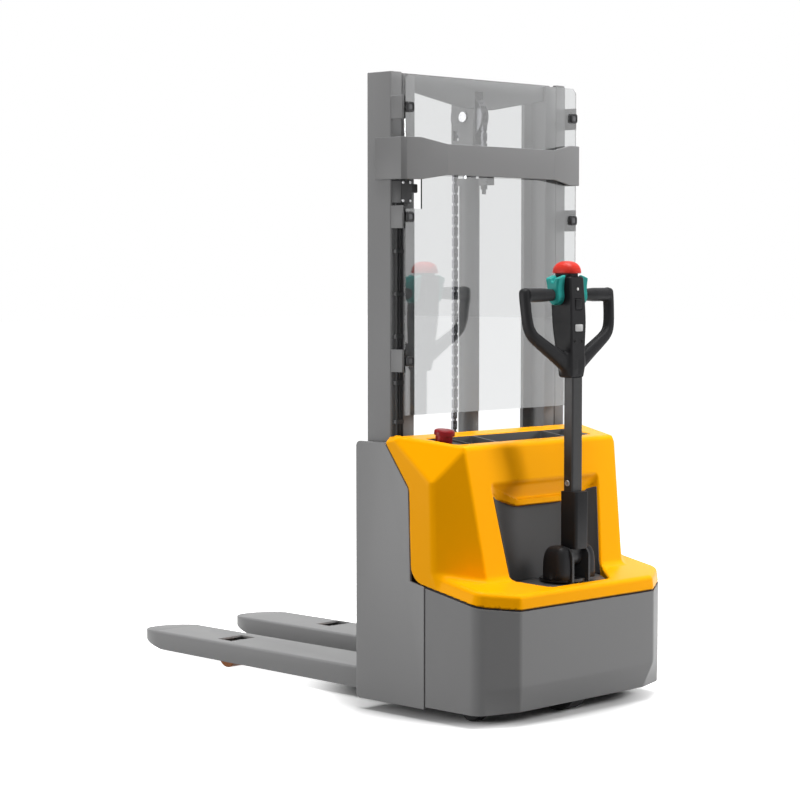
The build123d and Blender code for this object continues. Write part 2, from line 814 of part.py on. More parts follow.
# Storage tray: dark insert in the hood's top, three compartments and a raised seat for the emergency stop
with BuildPart() as storage_tray:
    with BuildSketch(top_plane.offset(-TRAY_SINK)):
        tray_outline()
        offset(amount=-TRAY_GAP, mode=Mode.REPLACE)
    extrude(amount=-TRAY_DEPTH)
    for low, high, depth in CUPS_X:
        with BuildSketch(top_plane):
            with Locations(((low + high) / 2, (CUP_Y[0] + CUP_Y[1]) / 2)):
                RectangleRounded(high - low, CUP_Y[1] - CUP_Y[0], CUP_R)
        extrude(amount=TRAY_FLOOR - depth, mode=Mode.SUBTRACT)
    with BuildSketch(top_plane):
        with BuildLine():
            Polyline(*SEAT_OUTLINE, close=True)
        seat = make_face()
        fillet(seat.vertices(), radius=SEAT_R)
    extrude(amount=E_STOP_SEAT, mode=Mode.SUBTRACT)
    with BuildSketch(top_plane):
        with Locations((E_STOP_X, E_STOP_Y)):
            Circle(BARREL_HOLE_R)
    extrude(amount=-OVERCUT, mode=Mode.SUBTRACT)
keep(storage_tray, "storage_tray")


# Emergency stop: collar with a barrel through the tray, and a mushroom button that travels over it
def stop_disc(radius, low, high, mode=Mode.ADD):
    """A disc about the emergency stop's axis, between two heights counted from the hood's top."""
    with BuildSketch(top_plane.offset(low)) as disc:
        with Locations((E_STOP_X, E_STOP_Y)):
            Circle(radius)
    extrude(disc.sketch, amount=high - low, mode=mode)


with BuildPart() as e_stop_base:
    stop_disc(COLLAR_R, E_STOP_SEAT, COLLAR_TOP)
    stop_disc(BARREL_R, BARREL_BOTTOM, E_STOP_SEAT)
    stop_disc(BUTTON_STEM_R + RUNNING_FIT, STEM_BORE_FOOT, COLLAR_TOP, mode=Mode.SUBTRACT)
keep(e_stop_base, "e_stop_base")

with BuildPart() as e_stop_button:
    stop_disc(BUTTON_R, BUTTON_BOTTOM, BUTTON_TOP)
    fillet(e_stop_button.edges().sort_by(Axis.Z)[-1], radius=BUTTON_EDGE_R)
    stop_disc(BUTTON_HOLLOW_R, BUTTON_BOTTOM, BUTTON_BOTTOM + BUTTON_HOLLOW, mode=Mode.SUBTRACT)
    stop_disc(BUTTON_STEM_R, STEM_FOOT, BUTTON_BOTTOM + BUTTON_HOLLOW)
keep(e_stop_button, "e_stop_button")

# Support legs: channels that reach out under the forks, each with an opening for its load roller
for side, sign in SIDES:
    inner = sign * (LEG_X - LEG_HALF)
    outer = sign * (LEG_X + LEG_HALF)
    channel_x = (inner + sign * LEG_WALL, outer - sign * LEG_WALL)
    with BuildPart() as support_leg:
        block((inner, outer), (MAST_DEPTH, LEG_FRONT), (LEG_BOTTOM, LEG_TOP))
        channel_y = (MAST_DEPTH, LEG_FRONT - LEG_WALL)
        block(channel_x, channel_y, (LEG_BOTTOM, LEG_TOP - LEG_WALL), mode=Mode.SUBTRACT)
        pocket_y = (ROLLER_Y - ROLLER_POCKET, ROLLER_Y + ROLLER_POCKET)
        block(channel_x, pocket_y, (LEG_BOTTOM, OVERCUT), mode=Mode.SUBTRACT)
        bar(sign * LEG_X, ROLLER_Y, ROLLER_Z, ALONG_X, AXLE_R + SEAT_GAP, OVERCUT, mode=Mode.SUBTRACT)
        fillet(support_leg.edges().filter_by(Axis.Z).sort_by(Axis.Y)[-2:], radius=LEG_NOSE_R)
    keep(support_leg, f"{side}_support_leg")

    with BuildPart() as load_roller:
        bar(sign * LEG_X, ROLLER_Y, ROLLER_Z, ALONG_X, ROLLER_R, 2 * ROLLER_HALF)
        bar(sign * LEG_X, ROLLER_Y, ROLLER_Z, ALONG_X, AXLE_R + RUNNING_FIT, OVERCUT, mode=Mode.SUBTRACT)
        chamfer(load_roller.edges().filter_by(GeomType.CIRCLE), length=ROLLER_CHAMFER)
    keep(load_roller, f"{side}_load_roller")

with BuildPart() as load_roller_axles:
    for sign in (-1, 1):
        bar(sign * LEG_X, ROLLER_Y, ROLLER_Z, ALONG_X, AXLE_R, 2 * LEG_HALF)
        for end in (-1, 1):
            head_x = sign * LEG_X + end * (LEG_HALF + AXLE_HEAD / 2)
            bar(head_x, ROLLER_Y, ROLLER_Z, ALONG_X, AXLE_HEAD_R, AXLE_HEAD)
keep(load_roller_axles, "load_roller_axles")

# Outer mast: two channels that open inwards, standing on the foot beam
hollow_y = (RAIL_FLANGE, MAST_DEPTH - RAIL_FLANGE)

for side, sign in SIDES:
    with BuildPart() as outer_mast:
        block((sign * OUTER_RAIL[0], sign * OUTER_RAIL[1]), (0, MAST_DEPTH), (LEG_TOP, MAST_HEIGHT))
        hollow_x = (sign * OUTER_RAIL[0], sign * (OUTER_RAIL[1] - OUTER_WEB))
        block(hollow_x, hollow_y, (LEG_TOP, MAST_HEIGHT), mode=Mode.SUBTRACT)
        upright_edges = outer_mast.edges().filter_by(Axis.Z)
        fillet(upright_edges.sort_by(lambda edge: abs(edge.center().X))[-2:], radius=OUTER_RAIL_R)
    keep(outer_mast, f"{side}_outer_mast")

# Inner mast: narrower channels that slide between the outer ones, with a stub axle at each foot
for side, sign in SIDES:
    with BuildPart() as inner_mast:
        block((sign * INNER_RAIL[0], sign * INNER_RAIL[1]), (0, MAST_DEPTH), (INNER_FOOT, INNER_TOP))
        hollow_x = (sign * INNER_RAIL[0], sign * (INNER_RAIL[1] - INNER_WEB))
        block(hollow_x, hollow_y, (INNER_FOOT, INNER_TOP), mode=Mode.SUBTRACT)
        stub_x = sign * (INNER_RAIL[1] + MAST_STUB_END) / 2
        bar(stub_x, GUIDE_Y, MAST_ROLLER_Z, ALONG_X, MAST_STUB_R, MAST_STUB_END - INNER_RAIL[1])
    keep(inner_mast, f"{side}_inner_mast")

# Guide rollers: one pair at the foot of the inner mast and two pairs on the carriage
roller_pairs = (
    ("mast_lower_rollers", MAST_ROLLER_X, MAST_ROLLER_Z, MAST_STUB_R),
    ("carriage_upper_rollers", CARRIAGE_ROLLER_X, UPPER_ROLLER_Z, CARRIAGE_STUB_R),
    ("carriage_lower_rollers", CARRIAGE_ROLLER_X, LOWER_ROLLER_Z, CARRIAGE_STUB_R),
)
for name, reach, height, stub_r in roller_pairs:
    with BuildPart() as guide_rollers:
        for sign in (-1, 1):
            middle = sign * (reach[0] + reach[1]) / 2
            bar(middle, GUIDE_Y, height, ALONG_X, GUIDE_R, reach[1] - reach[0])
            bar(middle, GUIDE_Y, height, ALONG_X, stub_r + RUNNING_FIT, OVERCUT, mode=Mode.SUBTRACT)
    keep(guide_rollers, name)

# Mast crossbar: strap wrapped round the outer mast, shallower in the middle and bowed to the rear
left_outer = [(-x, y) for x, y in reversed(CROSSBAR_OUTER)]
left_inner = [(-x, y) for x, y in reversed(CROSSBAR_INNER)]
crossbar_taper = both_sides(
    (
        (CROSSBAR_MID_X, CROSSBAR_MID_Z[0]),
        (CROSSBAR_TAPER_X, CROSSBAR_Z[0]),
        (CROSSBAR_END_X, CROSSBAR_Z[0]),
        (CROSSBAR_END_X, CROSSBAR_Z[1]),
        (CROSSBAR_TAPER_X, CROSSBAR_Z[1]),
        (CROSSBAR_MID_X, CROSSBAR_MID_Z[1]),
    )
)

with BuildPart() as mast_crossbar:
    add(plan_slab((*CROSSBAR_OUTER, *left_outer, *left_inner, *CROSSBAR_INNER), *CROSSBAR_Z))
    add(rear_slab(crossbar_taper, -OVERCUT, OVERCUT), mode=Mode.INTERSECT)
keep(mast_crossbar, "mast_crossbar")

# Mast guard: clear sheet on six steel brackets, each with a moulded clip, notched for the height switch
guard_outline = both_sides(
    (
        (GUARD_HALF, GUARD_Z[0]),
        (GUARD_HALF, GUARD_Z[1] - GUARD_CORNER),
        (GUARD_HALF - GUARD_CORNER, GUARD_Z[1]),
    )
)

with BuildPart() as mast_guard:
    add(rear_slab(guard_outline, *GUARD_Y))
    block((-HALF_WIDTH, NOTCH_X), GUARD_Y, NOTCH_Z, mode=Mode.SUBTRACT)
    for sign in (-1, 1):
        for height in CLIP_HEIGHTS:
            bar(sign * CLIP_X, GUARD_Y[0], height, ALONG_Y, CLIP_HOLE_R, OVERCUT, mode=Mode.SUBTRACT)
keep(mast_guard, "mast_guard")

with BuildPart() as guard_brackets:
    for sign in (-1, 1):
        for height in CLIP_HEIGHTS:
            bracket_x = (sign * BRACKET_X[0], sign * BRACKET_X[1])
            tab_x = (sign * TAB_X, sign * BRACKET_X[1])
            block(bracket_x, (TAB_Y[0], 0), (height - BRACKET_HALF, height + BRACKET_HALF))
            block(tab_x, TAB_Y, (height - TAB_HALF, height + TAB_HALF))
keep(guard_brackets, "guard_brackets")

with BuildPart() as guard_clips:
    for sign in (-1, 1):
        for height in CLIP_HEIGHTS:
            clip_x = (sign * (CLIP_X - CLIP_HALF), sign * (CLIP_X + CLIP_HALF))
            block(clip_x, (CLIP_REAR, GUARD_Y[0]), (height - CLIP_HALF, height + CLIP_HALF))
    fillet(guard_clips.edges().filter_by(Axis.Y), radius=CLIP_CORNER_R)
    for sign in (-1, 1):
        for height in CLIP_HEIGHTS:
            shank_y = (GUARD_Y[0] + GUARD_Y[1]) / 2
            bar(sign * CLIP_X, shank_y, height, ALONG_Y, CLIP_SHANK_R, GUARD_Y[1] - GUARD_Y[0])
keep(guard_clips, "guard_clips")

# Lift cylinder on the foot beam and its piston rod, which pushes the inner mast up
with BuildPart() as lift_cylinder:
    post(0, CYLINDER_Y, (LEG_TOP, CYLINDER_TOP), CYLINDER_R)
    post(0, CYLINDER_Y, (CYLINDER_TOP, GLAND_TOP), GLAND_R)
    post(0, CYLINDER_Y, (CYLINDER_BORE_FOOT, GLAND_TOP), ROD_R + RUNNING_FIT, mode=Mode.SUBTRACT)
keep(lift_cylinder, "lift_cylinder")

with BuildPart() as piston_rod:
    post(0, CYLINDER_Y, (ROD_FOOT, ROD_TOP), ROD_R)
keep(piston_rod, "piston_rod")

# Chain anchor: tie plate between the outer rails with a lug and a threaded rod, and the chain's fixed run
with BuildPart() as chain_anchor:
    block((-OUTER_RAIL[1], OUTER_RAIL[1]), ANCHOR_Y, ANCHOR_Z)
    for sign in (-1, 1):
        block((sign * ANCHOR_FOOT_X[0], sign * ANCHOR_FOOT_X[1]), (ANCHOR_Y[1], 0), ANCHOR_Z)
    block((-LUG_HALF, LUG_HALF), (ANCHOR_Y[0], LUG_FRONT), LUG_Z)
    block((-LUG_HALF, LUG_HALF), ANCHOR_Y, (LUG_Z[0], ANCHOR_Z[1]))
    post(0, CHAIN_REAR_Y, THREAD_Z, THREAD_R)
    with BuildSketch(Plane.XY.offset(NUT_Z[0])):
        with Locations((0, ahead(CHAIN_REAR_Y))):
            RegularPolygon(NUT_R, 6, major_radius=False)
    extrude(amount=NUT_Z[1] - NUT_Z[0])
keep(chain_anchor, "chain_anchor")

with BuildPart() as fixed_chain_run:
    run_y = (CHAIN_REAR_Y - CHAIN_THICK / 2, CHAIN_REAR_Y + CHAIN_THICK / 2)
    block((-CHAIN_HALF, CHAIN_HALF), run_y, (LUG_Z[1], PULLEY_Z - CHAIN_END_GAP))
keep(fixed_chain_run, "fixed_chain_run")

# Inner mast crossmembers: crosshead with the pulley cheeks and rod seat, and the tie at the rails' feet
crosshead_outline = both_sides(
    (
        (CROSSHEAD_MID_X, CROSSHEAD_MID_Z),
        (CROSSHEAD_HALF, CROSSHEAD_END_Z),
        (CROSSHEAD_HALF, CROSSHEAD_TOP),
    )
)

with BuildPart() as inner_mast_crossmembers:
    add(rear_slab(crosshead_outline, *CROSSHEAD_Y))
    block((-CHEEK_X[0], CHEEK_X[0]), CROSSHEAD_Y, CHAIN_SLOT_Z, mode=Mode.SUBTRACT)
    for sign in (-1, 1):
        cheek_x = (sign * CHEEK_X[0], sign * CHEEK_X[1])
        block(cheek_x, (CROSSHEAD_Y[0], CHEEK_FRONT), CHEEK_Z)
        block(cheek_x, CHEEK_WINDOW_Y, CHEEK_WINDOW_Z, mode=Mode.SUBTRACT)
    block((-CHEEK_X[1], CHEEK_X[1]), (CROSSHEAD_Y[0], ROD_SEAT_FRONT), (ROD_TOP, ROD_TOP + ROD_SEAT))
    bar(0, PULLEY_Y, PULLEY_Z, ALONG_X, PULLEY_PIN_R + SEAT_GAP, OVERCUT, mode=Mode.SUBTRACT)
    block((-INNER_RAIL[1], INNER_RAIL[1]), TIE_Y, TIE_Z)
keep(inner_mast_crossmembers, "inner_mast_crossmembers")

# Chain pulley on its axle, with the stretch of chain that lies in the groove
with BuildPart() as pulley_axle:
    bar(0, PULLEY_Y, PULLEY_Z, ALONG_X, PULLEY_PIN_R, 2 * CHEEK_X[1])
    for sign in (-1, 1):
        bar(sign * (CHEEK_X[1] + PIN_HEAD / 2), PULLEY_Y, PULLEY_Z, ALONG_X, PIN_HEAD_R, PIN_HEAD)
keep(pulley_axle, "pulley_axle")

with BuildPart() as chain_pulley:
    bar(0, PULLEY_Y, PULLEY_Z, ALONG_X, PULLEY_FLANGE_R, 2 * PULLEY_HALF)
    bar(0, PULLEY_Y, PULLEY_Z, ALONG_X, 2 * PULLEY_FLANGE_R, 2 * GROOVE_HALF, mode=Mode.SUBTRACT)
    bar(0, PULLEY_Y, PULLEY_Z, ALONG_X, GROOVE_R, 2 * PULLEY_HALF)
    bar(0, PULLEY_Y, PULLEY_Z, ALONG_X, PULLEY_PIN_R + RUNNING_FIT, OVERCUT, mode=Mode.SUBTRACT)
keep(chain_pulley, "chain_pulley")

with BuildPart() as chain_wrap:
    bar(0, PULLEY_Y, PULLEY_Z, ALONG_X, CHAIN_R + CHAIN_THICK / 2, 2 * CHAIN_HALF)
    bar(0, PULLEY_Y, PULLEY_Z, ALONG_X, CHAIN_R - CHAIN_THICK / 2, OVERCUT, mode=Mode.SUBTRACT)
    split(bisect_by=Plane.XY.offset(PULLEY_Z), keep=Keep.TOP)
keep(chain_wrap, "chain_wrap")

# Fork carriage: two bars joined by the roller brackets, with a lug for the chain
with BuildPart() as carriage_frame:
    block((-FORK_X[1], FORK_X[1]), BAR_Y, UPPER_BAR_Z)
    block((-FORK_X[1], FORK_X[1]), BAR_Y, LOWER_BAR_Z)
    for sign in (-1, 1):
        bracket_x = (sign * BRACKET_PLATE_X[0], sign * BRACKET_PLATE_X[1])
        block(bracket_x, (BRACKET_PLATE_REAR, BAR_Y[0]), BRACKET_PLATE_Z)
        stub_x = sign * (BRACKET_PLATE_X[1] + CARRIAGE_STUB_END) / 2
        for height in (UPPER_ROLLER_Z, LOWER_ROLLER_Z):
            bar(stub_x, GUIDE_Y, height, ALONG_X, CARRIAGE_STUB_R, CARRIAGE_STUB_END - BRACKET_PLATE_X[1])
    block((-CHAIN_LUG_HALF, CHAIN_LUG_HALF), (CHAIN_LUG_REAR, BAR_Y[0]), CHAIN_LUG_Z)
keep(carriage_frame, "carriage_frame")

with BuildPart() as carriage_chain_run:
    run_y = (CHAIN_FRONT_Y - CHAIN_THICK / 2, CHAIN_FRONT_Y + CHAIN_THICK / 2)
    block((-CHAIN_HALF, CHAIN_HALF), run_y, (CHAIN_LUG_Z[1], PULLEY_Z - CHAIN_END_GAP))
keep(carriage_chain_run, "carriage_chain_run")

# Forks: folded shells over the support legs, with a back plate, a window and a rounded, tapered tip
fork_underside = (
    (0, 0),
    (0, FORK_HEEL_BOTTOM),
    (FORK_BACK_Y[0], FORK_HEEL_BOTTOM),
    (FORK_BODY_END, FORK_NOSE_BOTTOM),
    (FORK_TIP, TIP_BOTTOM),
    (FORK_TIP + OVERCUT, TIP_BOTTOM),
    (FORK_TIP + OVERCUT, 0),
)
fork_slope = (
    (NOSE_START, FORK_TOP + OVERCUT),
    (NOSE_START, FORK_TOP),
    (FORK_TIP, FORK_TOP - NOSE_DROP),
    (FORK_TIP + OVERCUT, FORK_TOP - NOSE_DROP),
    (FORK_TIP + OVERCUT, FORK_TOP + OVERCUT),
)

for side, sign in SIDES:
    low_x = min(sign * FORK_X[0], sign * FORK_X[1])
    high_x = max(sign * FORK_X[0], sign * FORK_X[1])
    middle_x = (low_x + high_x) / 2
    with BuildPart() as fork:
        with BuildSketch(Plane.XY.offset(FORK_HEEL_BOTTOM)):
            with BuildLine():
                Polyline(
                    (low_x, ahead(NOSE_START)),
                    (low_x, ahead(FORK_BACK_Y[0])),
                    (high_x, ahead(FORK_BACK_Y[0])),
                    (high_x, ahead(NOSE_START)),
                )
                EllipticalCenterArc(
                    (middle_x, ahead(NOSE_START)),
                    (high_x - low_x) / 2,
                    FORK_TIP - NOSE_START,
                    start_angle=0,
                    arc_size=180,
                )
            make_face()
        extrude(amount=FORK_TOP - FORK_HEEL_BOTTOM)
        top_edges = fork.edges().group_by(Axis.Z)[-1]
        heel_edge = top_edges.sort_by(Axis.Y)[0]
        fillet([edge for edge in top_edges if edge != heel_edge], radius=FORK_EDGE_R)
        hollow_x = (low_x + FORK_SKIN, high_x - FORK_SKIN)
        hollow_z = (FORK_HEEL_BOTTOM, FORK_TOP - FORK_SKIN)
        block(hollow_x, (FORK_BACK_Y[0], FORK_BODY_END), hollow_z, mode=Mode.SUBTRACT)
        add(side_slab(fork_underside, low_x - FORK_SKIN, high_x - low_x + 2 * FORK_SKIN), mode=Mode.SUBTRACT)
        add(side_slab(fork_slope, low_x - FORK_SKIN, high_x - low_x + 2 * FORK_SKIN), mode=Mode.SUBTRACT)
        block((low_x, high_x), FORK_BACK_Y, (FORK_TOP - FORK_SKIN, FORK_BACK_TOP))
        block((low_x, high_x), FORK_BACK_Y, HEEL_CLEAR_Z, mode=Mode.SUBTRACT)
        window_z = (FORK_TOP - FORK_SKIN - WINDOW_CUT, FORK_TOP + WINDOW_CUT)
        block(WINDOW_X[side], WINDOW_Y, window_z, mode=Mode.SUBTRACT)
    keep(fork, f"{side}_fork")

# Height switch and its cables on the left rail
with BuildPart() as height_switch:
    block(SWITCH_X, SWITCH_Y, SWITCH_Z)
    block((SWITCH_X[1], LEVER_END), LEVER_Y, LEVER_Z)
keep(height_switch, "height_switch")

with BuildPart() as mast_cables:
    for cable_x in CABLE_X:
        with BuildLine():
            FilletPolyline(
                (cable_x, ahead(CABLE_Y), SWITCH_Z[0]),
                (cable_x, ahead(CABLE_Y), CABLE_BEND_Z),
                (cable_x, ahead(CABLE_ENTRY_Y), CABLE_ENTRY_Z),
                (cable_x, ahead(CABLE_ENTRY_Y), CONTROLLER_Z[1]),
                radius=CABLE_BEND_R,
            )
        with BuildSketch(Plane(origin=(cable_x, ahead(CABLE_Y), SWITCH_Z[0]), z_dir=(0, 0, -1))):
            Circle(CABLE_R)
        sweep()
keep(mast_cables, "mast_cables")

# Power gear in the bay: battery, motor controller and hydraulic pump unit
with BuildPart() as battery_pack:
    block(BATTERY_X, BAY_Y, (FLOOR_Z[1], BATTERY_TOP))
    fillet(battery_pack.edges().filter_by(Axis.Z), radius=BATTERY_EDGE_R)
keep(battery_pack, "battery_pack")

with BuildPart() as motor_controller:
    block(CONTROLLER_X, CONTROLLER_Y, CONTROLLER_Z)
keep(motor_controller, "motor_controller")

with BuildPart() as pump_unit:
    block(TANK_X, BAY_Y, (FLOOR_Z[1], TANK_TOP))
    post(PUMP_X, PUMP_Y, (TANK_TOP, PUMP_TOP), PUMP_R)
keep(pump_unit, "pump_unit")

# Drive unit: turntable gearbox, motor with brake, wheel and the base that carries the tiller
with BuildPart() as drive_gearbox:
    post(0, STEER_Y, (GEARBOX_BOTTOM, GEARBOX_TOP), TURNTABLE_R)
    post(0, STEER_Y, (GEARBOX_BOTTOM, BRIDGE_Z[0] - FLANGE_GAP), LIP_R)
    post(0, STEER_Y, (BRIDGE_Z[1] + FLANGE_GAP, GEARBOX_TOP), LIP_R)
    block(GEAR_LEG_X, (STEER_Y - GEAR_LEG_HALF, STEER_Y + GEAR_LEG_HALF), GEAR_LEG_Z)
    fillet(drive_gearbox.edges().filter_by(Axis.X).sort_by(Axis.Z)[:2], radius=GEAR_LEG_R)
    bar(0, STEER_Y, WHEEL_R, ALONG_X, SHAFT_R, SHAFT_LENGTH)
keep(drive_gearbox, "drive_gearbox")

with BuildPart() as drive_motor:
    post(0, STEER_Y, (GEARBOX_TOP, MOTOR_TOP), MOTOR_R)
    post(0, STEER_Y, (MOTOR_TOP, BRAKE_TOP), BRAKE_R)
keep(drive_motor, "drive_motor")

with BuildPart() as drive_wheel:
    bar(0, STEER_Y, WHEEL_R, ALONG_X, HUB_R, 2 * HUB_HALF)
    bar(0, STEER_Y, WHEEL_R, ALONG_X, SHAFT_R + RUNNING_FIT, OVERCUT, mode=Mode.SUBTRACT)
keep(drive_wheel, "drive_wheel")

with BuildPart() as drive_tyre:
    bar(0, STEER_Y, WHEEL_R, ALONG_X, WHEEL_R, 2 * WHEEL_HALF)
    fillet(drive_tyre.edges().filter_by(GeomType.CIRCLE), radius=TYRE_EDGE_R)
    bar(0, STEER_Y, WHEEL_R, ALONG_X, HUB_R, OVERCUT, mode=Mode.SUBTRACT)
keep(drive_tyre, "drive_tyre")

with BuildPart() as tiller_base:
    post(0, STEER_Y, (BRAKE_TOP, BASE_Z), COLUMN_R)
    post(0, STEER_Y, (BASE_Z, BASE_DISC_TOP), BASE_DISC_R)
    for sign in (-1, 1):
        block((sign * BASE_CHEEK_X[0], sign * BASE_CHEEK_X[1]), BASE_CHEEK_Y, (BASE_Z, BASE_CHEEK_TOP))
    fillet(tiller_base.edges().filter_by(Axis.X).sort_by(Axis.Z)[-4:], radius=BASE_CHEEK_R)
    bar(0, TILT_Y, TILT_Z, ALONG_X, TILT_PIN_R, 2 * BASE_CHEEK_X[1])
keep(tiller_base, "tiller_base")


def cover_profile(wall):
    """Side profile of a base cover with sloping shoulders, drawn in by the wall's thickness."""
    rear = COVER_Y[0] + wall
    front = COVER_Y[1] - wall
    return (
        (rear, COVER_Z[0]),
        (rear, COVER_EAVES_Z),
        (rear + COVER_SLOPE, COVER_Z[1] - wall),
        (front - COVER_SLOPE, COVER_Z[1] - wall),
        (front, COVER_EAVES_Z),
        (front, COVER_Z[0]),
    )


with BuildPart() as tiller_base_covers:
    for sign in (-1, 1):
        add(side_slab(cover_profile(0), sign * COVER_X[0], sign * (COVER_X[1] - COVER_X[0])))
    cover_edges = tiller_base_covers.edges()
    outer_rim = cover_edges.filter_by(lambda edge: abs(edge.center().X) > COVER_X[1] - COVER_WALL)
    upper_rim = outer_rim.filter_by(lambda edge: edge.center().Z > COVER_Z[0] + COVER_WALL)
    fillet(upper_rim, radius=COVER_EDGE_R)
    for sign in (-1, 1):
        hollow_depth = sign * (COVER_X[1] - COVER_X[0] - COVER_FACE)
        add(side_slab(cover_profile(COVER_WALL), sign * COVER_X[0], hollow_depth), mode=Mode.SUBTRACT)
keep(tiller_base_covers, "tiller_base_covers")

# Tiller arm: forked foot on the tilt pin, spine and flat bar, with a moulded cover round the spine
with BuildPart() as tiller_arm:
    bar(0, TILT_Y, TILT_Z, ALONG_X, FOOT_PIVOT_R, 2 * FOOT_WIDTH_HALF)
    block((-FOOT_WIDTH_HALF, FOOT_WIDTH_HALF), (SPINE_Y[0], TILT_Y), (TILT_Z, SPINE_FOOT))
    bar(0, TILT_Y, TILT_Z, ALONG_X, TILT_PIN_R + RUNNING_FIT, OVERCUT, mode=Mode.SUBTRACT)
    block((-SPINE_HALF, SPINE_HALF), SPINE_Y, (SPINE_FOOT, ARM_SHOULDER_Z))
    block((-ARM_HALF, ARM_HALF), ARM_Y, (ARM_SHOULDER_Z, ARM_TOP))
    bar_edges = tiller_arm.edges().filter_by(Axis.Z).filter_by(lambda edge: edge.center().Z > ARM_SHOULDER_Z)
    fillet(bar_edges, radius=ARM_EDGE_R)
keep(tiller_arm, "tiller_arm")

with BuildPart() as arm_lower_cover:
    block((-SLEEVE_HALF, SLEEVE_HALF), SLEEVE_Y, (SPINE_FOOT, ARM_SHOULDER_Z))
    fillet(arm_lower_cover.edges().filter_by(Axis.Z), radius=SLEEVE_EDGE_R)
    block((-SPINE_HALF, SPINE_HALF), SPINE_Y, (SPINE_FOOT, ARM_SHOULDER_Z), mode=Mode.SUBTRACT)
keep(arm_lower_cover, "arm_lower_cover")

# Tiller head: the control box with a neck under the belly button and a pocket for the lift rocker
with BuildPart() as tiller_head:
    add(side_slab(HEAD_PROFILE, -HEAD_HALF, 2 * HEAD_HALF))
    fillet(tiller_head.edges().filter_by(Axis.X), radius=HEAD_EDGE_R)
    block((-NECK_HALF, NECK_HALF), NECK_Y, (NECK_FOOT, NECK_TOP))
    pocket_half = ROCKER_HALF[0] + ROCKER_GAP
    pocket_rise = ROCKER_HALF[1] + ROCKER_GAP
    pocket_z = (ROCKER_Z - pocket_rise, ROCKER_Z + pocket_rise)
    block((-pocket_half, pocket_half), ROCKER_POCKET_Y, pocket_z, mode=Mode.SUBTRACT)
keep(tiller_head, "tiller_head")

# Grip loops: round tube from the grip back to the head's foot, with the stub that the butterfly turns on
loop_plane = Plane(
    origin=(0, ahead(GRIP_Y), GRIP_Z),
    x_dir=ALONG_X,
    z_dir=(0, LOOP_FOOT_Z - GRIP_Z, GRIP_Y - LOOP_FOOT_Y),
)

for side, sign in SIDES:
    with BuildPart() as grip_loop:
        with BuildLine(loop_plane):
            FilletPolyline(
                (sign * GRIP_X[0], 0),
                (sign * GRIP_X[1], 0),
                (sign * LOOP_CORNER_X, -LOOP_CORNER_DROP),
                (sign * LOOP_END_X, -LOOP_END_DROP),
                radius=LOOP_BENDS,
            )
        with BuildSketch(Plane(origin=(sign * GRIP_X[0], ahead(GRIP_Y), GRIP_Z), z_dir=(sign, 0, 0))):
            Circle(LOOP_R)
        sweep()
        head_y = (GRIP_Y - OVERCUT, GRIP_Y + OVERCUT)
        block((-HEAD_HALF, HEAD_HALF), head_y, (ARM_TOP - OVERCUT, HEAD_TOP), mode=Mode.SUBTRACT)
        bar(sign * (HEAD_HALF + GRIP_X[0]) / 2, GRIP_Y, GRIP_Z, ALONG_X, STUB_R, GRIP_X[0] - HEAD_HALF)
    keep(grip_loop, f"{side}_grip_loop")

# Travel butterfly: two thumb rockers, one each side of the head, on the grip stubs
with BuildPart() as travel_butterfly:
    for sign in (-1, 1):
        add(side_slab(BUTTERFLY_PROFILE, sign * BUTTERFLY_X[0], sign * (BUTTERFLY_X[1] - BUTTERFLY_X[0])))
    fillet(travel_butterfly.edges().filter_by(Axis.X), radius=BUTTERFLY_EDGE_R)
    bar(0, GRIP_Y, GRIP_Z, ALONG_X, STUB_R + RUNNING_FIT, 2 * OVERCUT, mode=Mode.SUBTRACT)
keep(travel_butterfly, "travel_butterfly")

# Belly button: red cap on the neck, pressed down to back the truck away
with BuildPart() as belly_button:
    block((-CAP_HALF, CAP_HALF), CAP_Y, CAP_Z)
    fillet(belly_button.edges().filter_by(Axis.Z), radius=CAP_CORNER_R)
    fillet(belly_button.edges().group_by(Axis.Z)[-1], radius=CAP_EDGE_R)
    neck_x = (-NECK_HALF - CAP_SLACK, NECK_HALF + CAP_SLACK)
    neck_y = (NECK_Y[0] - CAP_SLACK, NECK_Y[1] + CAP_SLACK)
    block(neck_x, neck_y, (CAP_Z[0], CAP_HOLLOW_TOP), mode=Mode.SUBTRACT)
keep(belly_button, "belly_button")

# Lift rocker: small key in the head's rear face, rocking up and down
with BuildPart() as lift_rocker:
    key_y = (ROCKER_Y + ROCKER_DEPTH[0], ROCKER_Y + ROCKER_DEPTH[1])
    key_z = (ROCKER_Z - ROCKER_HALF[1], ROCKER_Z + ROCKER_HALF[1])
    block((-ROCKER_HALF[0], ROCKER_HALF[0]), key_y, key_z)
    fillet(lift_rocker.edges().filter_by(Axis.Y), radius=ROCKER_EDGE_R)
keep(lift_rocker, "lift_rocker")

# Castors: swivelling yoke with its stem and axle, and a small wheel that trails behind the stem
wheel_y = CASTOR_Y - CASTOR_TRAIL
yoke_leg_outline = (
    (CASTOR_Y + YOKE_Y[1], YOKE_Z[0]),
    (CASTOR_Y + YOKE_Y[0], YOKE_Z[0]),
    (wheel_y - YOKE_FOOT_HALF, CASTOR_R - YOKE_FOOT_HALF),
    (wheel_y + YOKE_FOOT_HALF, CASTOR_R - YOKE_FOOT_HALF),
)

